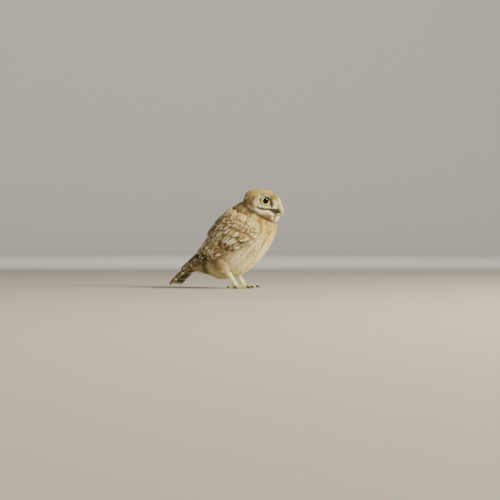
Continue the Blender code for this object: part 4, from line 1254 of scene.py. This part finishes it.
TAIL_ROOT = np.array((-0.0540 + FORWARD, 0.0, 0.0580))
TAIL_TIP = np.array((-0.1155 + FORWARD, 0.0, 0.0085))
TAIL_FEATHERS, TAIL_WIDTH, TAIL_FAN = 12, 0.0115, 2.3

tail_length = np.linalg.norm(TAIL_TIP - TAIL_ROOT)
tail_axis = unit(TAIL_TIP - TAIL_ROOT)
tail_side = np.array((0.0, 1.0, 0.0))
tail_up = unit(np.cross(tail_side, tail_axis))
tail_up = tail_up if tail_up[2] > 0.0 else -tail_up
rows, columns = 20, 7
tail_points = np.empty((TAIL_FEATHERS, rows, columns, 3))
tail_lengths = np.empty(TAIL_FEATHERS)
for i in range(TAIL_FEATHERS):
    out = i - (TAIL_FEATHERS - 1) / 2.0
    swing = math.radians(TAIL_FAN * out)
    ahead = tail_axis * math.cos(swing) + tail_side * math.sin(swing)
    sideways = tail_side * math.cos(swing) - tail_axis * math.sin(swing)
    tail_lengths[i] = tail_length * (1.0 - 0.0016 * out**2)
    sink = 0.00165 * abs(out) + (0.0002 if out > 0 else 0.0)
    start = TAIL_ROOT + tail_side * 0.0009 * out - tail_up * sink
    for r, share in enumerate(grid_rows(rows)):
        centre = start + ahead * share * tail_lengths[i] + tail_up * 0.010 * share * (1.0 - share)
        half = TAIL_WIDTH / 2.0 * np.interp(share, *VANE_OUTLINE.T)
        for c, edge in enumerate(np.linspace(-1.0, 1.0, columns)):
            tail_points[i, r, c] = centre + sideways * half * edge + tail_up * 0.0002 * (1.0 - abs(edge))
tail_normals = np.broadcast_to(tail_up, tail_points.shape)
tail_vanes = (tail_points, tail_normals, tail_lengths, np.full(TAIL_FEATHERS, TAIL_WIDTH))
tail_tone = rng.uniform(0, 1, TAIL_FEATHERS)
tail_batch = batch(tail_vanes, "#6E5A38", (5.0, 0.35, 0.7), (0.0, 1.0 / 3.0, 1.0 / 0.12), tail_tone)
tail = vane_piece("tail_feathers", [tail_batch], 1, 0.0003)
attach(tail, "root")
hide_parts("tail")

# Eyes. The owl's large lemon-yellow eyes have a wide black pupil and a dark rim, under a wet clear
# cornea that mirrors the lights. The rim is partly the eye's own dark edge and partly painted shade
# round the iris. They look a little further out and down than their sockets.

# From 0.77 out the ring darkens: the eye's own dark edge, with painted shade round the iris.
IRIS_STOPS = (
    (0.0, "#010101"), (0.43, "#020201"), (0.46, "#4A4215"), (0.50, "#DDD268"), (0.60, "#F6EF92"),
    (0.71, "#EEE37C"), (0.77, "#8E8440"), (0.82, "#2A2412"), (1.0, "#15110A"),
)


def eye_finish(name):
    """A wet eyeball: the iris is a ring of fine fibres, so it is streaked outward from the pupil."""
    made, tree, shader = new_finish(name)
    reach, fibre = (
        add(tree, "ShaderNodeAttribute", attribute_name=given).outputs["Fac"] for given in ("reach", "roll")
    )
    fine = add(
        tree, "ShaderNodeTexNoise", {"W": fibre, "Scale": 24.0, "Detail": 4.0}, noise_dimensions="1D",
    )
    colour = add(tree, "ShaderNodeValToRGB", {"Fac": reach})
    ramp = colour.color_ramp
    while len(ramp.elements) < len(IRIS_STOPS):
        ramp.elements.new(0.5)
    for element, (at, code) in zip(ramp.elements, IRIS_STOPS):
        element.position = at
        element.color = opaque(code)
    streak = add(tree, "ShaderNodeMapRange", {0: fine, 1: 0.3, 2: 0.7, 3: 0.82, 4: 1.1})
    # The upper and inner part of the iris lies in the shade of the lid and the brow.
    under_lid = add(tree, "ShaderNodeAttribute", attribute_name="under_lid").outputs["Fac"]
    shade = add(
        tree, "ShaderNodeMapRange", {0: under_lid, 1: 0.20, 2: 0.42, 3: 1.0, 4: 0.06},
        interpolation_type="SMOOTHSTEP",
    )
    shaded = add(tree, "ShaderNodeMath", {0: streak, 1: shade}, operation="MULTIPLY")
    iris = add(tree, "ShaderNodeVectorMath", {0: colour, "Scale": shaded}, operation="SCALE")
    give(shader, {
        "Base Color": iris, "Roughness": 0.12, "IOR": 1.376, "Specular IOR Level": 0.1,
        "Coat Weight": 0.5, "Coat Roughness": 0.02, "Coat IOR": 1.376,
    })
    return made


eyeball = eye_finish("wet eyeball")
GAZE_OUT, GAZE_DOWN = 2.0, 1.0
CORNEA_BULGE, CORNEA_REACH = 0.03, 34.0
IRIS_REACH, SHADE_UP, SHADE_IN = 0.0100, 0.0118, 0.0200
for eye_name, side in (("eyeball_right", -1), ("eyeball_left", 1)):
    gaze = Euler((0.0, math.radians(GAZE_DOWN), math.radians(GAZE_OUT * side))).to_matrix().to_4x4()
    gaze = eye_frame(side) @ gaze
    rings = []
    for turn in np.concatenate((np.linspace(0.8, 80.0, 44), np.linspace(90.0, 176.0, 8))):
        # The cornea bulges a little over the iris.
        radius = EYE_RADIUS * (1.0 + CORNEA_BULGE * bump(turn, 0.0, CORNEA_REACH))
        rings.append(moved(ring_of_ways(turn, 72) * radius, gaze))
    eye = loft(eye_name, rings)
    x, y, z = moved(values_of(eye.data.vertices, "co"), gaze.inverted()).T
    # The back of the ball lies past the end of the iris's colours.
    write_attribute(eye.data, "reach", "FLOAT", np.hypot(y, z) / IRIS_REACH + (x < 0.0) * 1.0)
    write_attribute(eye.data, "roll", "FLOAT", np.abs(np.arctan2(z, y)))
    write_attribute(eye.data, "under_lid", "FLOAT", z / SHADE_UP - side * y / SHADE_IN)
    eye.data.materials.append(eyeball)
    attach(eye, "root")
    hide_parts(eye_name.replace("ball", ""))

# Lids. A bare dark rim edges the lids, thickest in the inner corner, and outside it the lid rises to
# the feathered face.

LID_COLUMNS, LID_ROWS = 96, 12

lid_skin, lid_tree, lid_shader = new_finish("bare lid skin")
lid_place = add(lid_tree, "ShaderNodeTexCoord").outputs["Object"]
wrinkle = add(lid_tree, "ShaderNodeTexNoise", {"Vector": lid_place, "Scale": 1800.0, "Detail": 2.0})
lid_colour = add(
    lid_tree, "ShaderNodeMix", {0: wrinkle, 6: opaque("#1A160E"), 7: opaque("#3A3422")}, data_type="RGBA",
)
lid_bump = add(lid_tree, "ShaderNodeBump", {"Strength": 0.4, "Distance": 0.0002, "Height": wrinkle})
give(lid_shader, {"Base Color": lid_colour.outputs[2], "Normal": lid_bump, "Roughness": 0.5})
for lid_name, side in (("lids_right", -1), ("lids_left", 1)):
    roll = full_turn(LID_COLUMNS)
    # The inner corner lies toward the bill.
    inner = math.pi if side < 0 else 0.0
    corner = bump(np.degrees(np.angle(np.exp(1j * (roll - inner)))), 0.0, 30.0)
    thick = 0.00034 + 0.00070 * corner + 0.00050 * bump(np.degrees(roll), 90.0, 60.0)
    across, up = lid_edge(roll)
    edge = np.stack((across, up), -1)
    on_ball = np.sqrt(np.maximum(EYE_RADIUS**2 - across**2 - up**2, 0.0)) + 0.0003
    rings = []
    for turn in full_turn(LID_ROWS):
        flat = edge + unit(edge) * (thick * np.cos(turn))[:, None]
        out = on_ball + thick * np.sin(turn)
        rings.append(moved(np.concatenate((out[:, None], flat), axis=1), eye_frame(side)))
    rims = np.stack(rings, 1)
    faces = []
    for a in range(LID_COLUMNS):
        for b in range(LID_ROWS):
            c, d = (a + 1) % LID_COLUMNS, (b + 1) % LID_ROWS
            faces.append((a * LID_ROWS + b, c * LID_ROWS + b, c * LID_ROWS + d, a * LID_ROWS + d))
    lid = mesh_piece(lid_name, rims.reshape(-1, 3), faces)
    lid.data.materials.append(lid_skin)
    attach(lid, "root")

# Bill. A short hooked upper bill of yellowish-green horn closes over the lower one, and two nostrils
# are cut into it near its root.


def bent_path(start, way, turn, length, steps):
    """Points from start that set out along way and turn evenly downwards by turn degrees."""
    way = np.array(way, float)
    level = unit(way * (1.0, 1.0, 0.0))
    rise = math.degrees(math.atan2(way[2], math.hypot(way[0], way[1])))
    path = [np.array(start, float)]
    for step in range(steps):
        pitch = math.radians(rise - turn * (step + 0.5) / steps)
        path.append(path[-1] + (level * math.cos(pitch) + (0.0, 0.0, math.sin(pitch))) * (length / steps))
    return path


def drawn_out(values, count):
    """The listed values spread evenly over more steps."""
    return np.interp(np.linspace(0.0, 1.0, count), np.linspace(0.0, 1.0, len(values)), values)


def horn_finish(name, root, tip, roughness):
    """Horn: growth layers show as faint streaks along it, and it darkens or pales to its tip."""
    made, tree, shader = new_finish(name)
    along = add(tree, "ShaderNodeAttribute", attribute_name="along").outputs["Fac"]
    place = add(tree, "ShaderNodeTexCoord").outputs["Object"]
    layers = add(tree, "ShaderNodeTexNoise", {"Vector": place, "Scale": 420.0, "Detail": 3.0})
    mixed = add(tree, "ShaderNodeMix", {0: along, 6: opaque(root), 7: opaque(tip)}, data_type="RGBA")
    light = add(tree, "ShaderNodeMapRange", {0: layers, 1: 0.3, 2: 0.7, 3: 0.82, 4: 1.12})
    shaded = add(tree, "ShaderNodeVectorMath", {0: mixed.outputs[2], "Scale": light}, operation="SCALE")
    bumped = add(tree, "ShaderNodeBump", {"Strength": 0.15, "Distance": 0.0001, "Height": layers})
    give(shader, {"Base Color": shaded, "Normal": bumped, "Roughness": roughness, "IOR": 1.54})
    return made


def horn_piece(name, path, widths, heights, columns, side, finish, node, matrix=None):
    """A curved piece of horn on a path, which replaces a node of the solids."""
    horn = tube(name, path, widths, heights, columns, side)
    knots = finder(path)
    along = np.array([knots.find(p)[1] for p in values_of(horn.data.vertices, "co")]) / (len(path) - 1)
    write_attribute(horn.data, "along", "FLOAT", along)
    if matrix is not None:
        horn.data.transform(matrix)
    horn.data.materials.append(finish)
    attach(horn, "root")
    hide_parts(node)
    return horn


BILL_ROOT = np.array((0.0297, 0.0, -0.0030))
bill_horn = horn_finish("bill horn", "#BDBB8C", "#E2DDB0", 0.38)
upper_path = bent_path(BILL_ROOT, direction(0.0, -24.0), 82.0, 0.0170, 28)
upper_widths = drawn_out((0.0052, 0.0047, 0.0041, 0.0034, 0.0027, 0.0020, 0.0013, 0.0004), 29)
upper_heights = drawn_out((0.0056, 0.0053, 0.0048, 0.0041, 0.0032, 0.0023, 0.0014, 0.0004), 29)
upper_bill = horn_piece(
    "upper_bill", upper_path, upper_widths, upper_heights, 32, (0.0, 1.0, 0.0),
    bill_horn, "bill_upper", HEAD_FRAME,
)
NOSTRIL_PLACE, NOSTRIL_SIZE = (0.0056, 0.0042, -0.0012), (0.0011, 0.0008, 0.0008)
for side in (-1, 1):
    middle = BILL_ROOT + np.array(NOSTRIL_PLACE) * (1.0, side, 1.0)
    pit_rings = [
        moved(middle + ring_of_ways(turn, 24) * NOSTRIL_SIZE, HEAD_FRAME)
        for turn in np.linspace(4.0, 176.0, 12)
    ]
    pit = loft("nostril", pit_rings)
    cut = upper_bill.modifiers.new("Nostril", "BOOLEAN")
    cut.operation, cut.solver, cut.object = "DIFFERENCE", "EXACT", pit
    applied(upper_bill)
    bpy.data.objects.remove(pit)
lower_path = bent_path(BILL_ROOT + (-0.0010, 0.0, -0.0108), direction(0.0, -20.0), 22.0, 0.0078, 14)
lower_widths = drawn_out((0.0042, 0.0038, 0.0032, 0.0024, 0.0010), 15)
lower_heights = drawn_out((0.0022, 0.0020, 0.0017, 0.0012, 0.0005), 15)
horn_piece(
    "lower_bill", lower_path, lower_widths, lower_heights, 24, (0.0, 1.0, 0.0),
    bill_horn, "bill_lower", HEAD_FRAME,
)

# Claws. Each toe ends in a curved, sharply pointed claw of dark horn, which grows out of the toe's
# end and bends down to the floor.

claw_horn = horn_finish("claw horn", "#4B4034", "#1F1A16", 0.32)
for side_name, side in (("left", 1), ("right", -1)):
    for toe_name, yaw_out, length, claw_length in TOES:
        way = toe_way(yaw_out, side)
        start = np.array((FOOT_X, FOOT_Y * side, TOE_RADIUS)) + way * (length - 0.0012)
        rise = math.radians(26.0)
        path = bent_path(start, way * math.cos(rise) + (0.0, 0.0, math.sin(rise)), 82.0, claw_length, 20)
        radii = drawn_out((0.00165, 0.0015, 0.00125, 0.0009, 0.00055, 0.00022), 21)
        horn_piece(
            f"horn_{side_name}_{toe_name}", path, radii, radii * 1.15, 20, (-way[1], way[0], 0.0),
            claw_horn, f"claw_{side_name}_{toe_name}",
        )

# Studio. A pale floor runs up into a wide round wall. The key light is soft and stands to the right
# of the camera, a wider and weaker one fills between them, and a third lights the wall behind.

STUDIO_RADIUS, STUDIO_HEIGHT, SWEEP = 7.0, 5.0, 1.6
SWEEP_STEPS, STUDIO_COLUMNS = 12, 96

studio = bpy.data.meshes.new("studio")
work = bmesh.new()
profile = [(0.0, 0.0), (STUDIO_RADIUS - SWEEP, 0.0)]
for step in range(1, SWEEP_STEPS + 1):
    turn = math.pi / 2.0 * step / SWEEP_STEPS
    profile.append((STUDIO_RADIUS - SWEEP + SWEEP * math.sin(turn), SWEEP * (1.0 - math.cos(turn))))
profile.append((STUDIO_RADIUS, STUDIO_HEIGHT))
points = [work.verts.new((x, 0.0, z)) for x, z in profile]
edges = [work.edges.new((a, b)) for a, b in zip(points, points[1:])]
bmesh.ops.spin(
    work, geom=points + edges, axis=(0, 0, 1), cent=(0, 0, 0),
    steps=STUDIO_COLUMNS, angle=2.0 * math.pi, use_duplicate=False,
)
bmesh.ops.remove_doubles(work, verts=work.verts, dist=1e-4)
bmesh.ops.recalc_face_normals(work, faces=work.faces)
bmesh.ops.reverse_faces(work, faces=work.faces)
work.to_mesh(studio)
work.free()
studio.shade_smooth()
studio_floor = placed("studio_floor", studio)
painted_board, board_tree, board_shader = new_finish("matt painted board")
board_place = add(board_tree, "ShaderNodeTexCoord").outputs["Object"]
board_grain = add(board_tree, "ShaderNodeTexNoise", {"Vector": board_place, "Scale": 60.0, "Detail": 4.0})
board_colour = add(
    board_tree, "ShaderNodeMix",
    {0: board_grain, 6: opaque("#C9C6BF"), 7: opaque("#D0CDC6")}, data_type="RGBA",
)
give(board_shader, {"Base Color": board_colour.outputs[2], "Roughness": 0.9})
studio_floor.data.materials.append(painted_board)

# The camera looks from the photograph's angle and frames the owl as the photograph does.
CAMERA_AZIMUTH, CAMERA_DISTANCE = math.radians(20.0), 3.0
CAMERA_HEIGHT, VIEW_RIGHT, VIEW_HEIGHT = 0.0850, 0.0365, 0.0608
right = Vector((math.cos(CAMERA_AZIMUTH), math.sin(CAMERA_AZIMUTH), 0.0))
toward = Vector((math.sin(CAMERA_AZIMUTH), -math.cos(CAMERA_AZIMUTH), 0.0))
aim = right * VIEW_RIGHT + Vector((0.0, 0.0, VIEW_HEIGHT))
camera_data = bpy.data.cameras.new("camera")
camera_data.lens, camera_data.sensor_width = 136.7, 36.0
camera_data.clip_start, camera_data.clip_end = 0.05, 60.0
camera = placed("camera", camera_data)
camera.location = aim + toward * CAMERA_DISTANCE + Vector((0.0, 0.0, CAMERA_HEIGHT - VIEW_HEIGHT))
camera.rotation_euler = (aim - camera.location).to_track_quat("-Z", "Y").to_euler()
bpy.context.scene.camera = camera

OWL_MIDDLE = Vector((0.0, 0.0, 0.08))
WALL_BEHIND = -toward * STUDIO_RADIUS + Vector((0.0, 0.0, 2.0))


def soft_light(name, azimuth, elevation, distance, size, power, colour, target=OWL_MIDDLE):
    """A square light on this side of the owl and this height over it in degrees, facing its target."""
    data = bpy.data.lights.new(name, "AREA")
    data.size, data.energy, data.color = size, power, linear(colour)
    light = placed(name, data)
    side, up = math.radians(azimuth), math.radians(elevation)
    way = Vector((math.sin(side) * math.cos(up), -math.cos(side) * math.cos(up), math.sin(up)))
    light.location = OWL_MIDDLE + way * distance
    light.rotation_euler = (target - light.location).to_track_quat("-Z", "Y").to_euler()
    return light


soft_light("key", 76.0, 29.0, 2.6, 1.1, 108.0, "#FFF1D2")
fill = soft_light("fill", 50.0, 14.0, 3.4, 2.4, 50.0, "#FFF6E2")
backdrop = soft_light("backdrop", 200.0, 55.0, 3.6, 4.0, 150.0, "#FFFDF8", WALL_BEHIND)
# Only the key light is mirrored in the eyes, which show one bright point, as in the photograph.
fill.visible_glossy = backdrop.visible_glossy = False
room = bpy.data.worlds.new("room")
room.use_nodes = True
give(room.node_tree.nodes["Background"], {"Color": opaque("#DAD9D6"), "Strength": 0.35})
bpy.context.scene.world = room
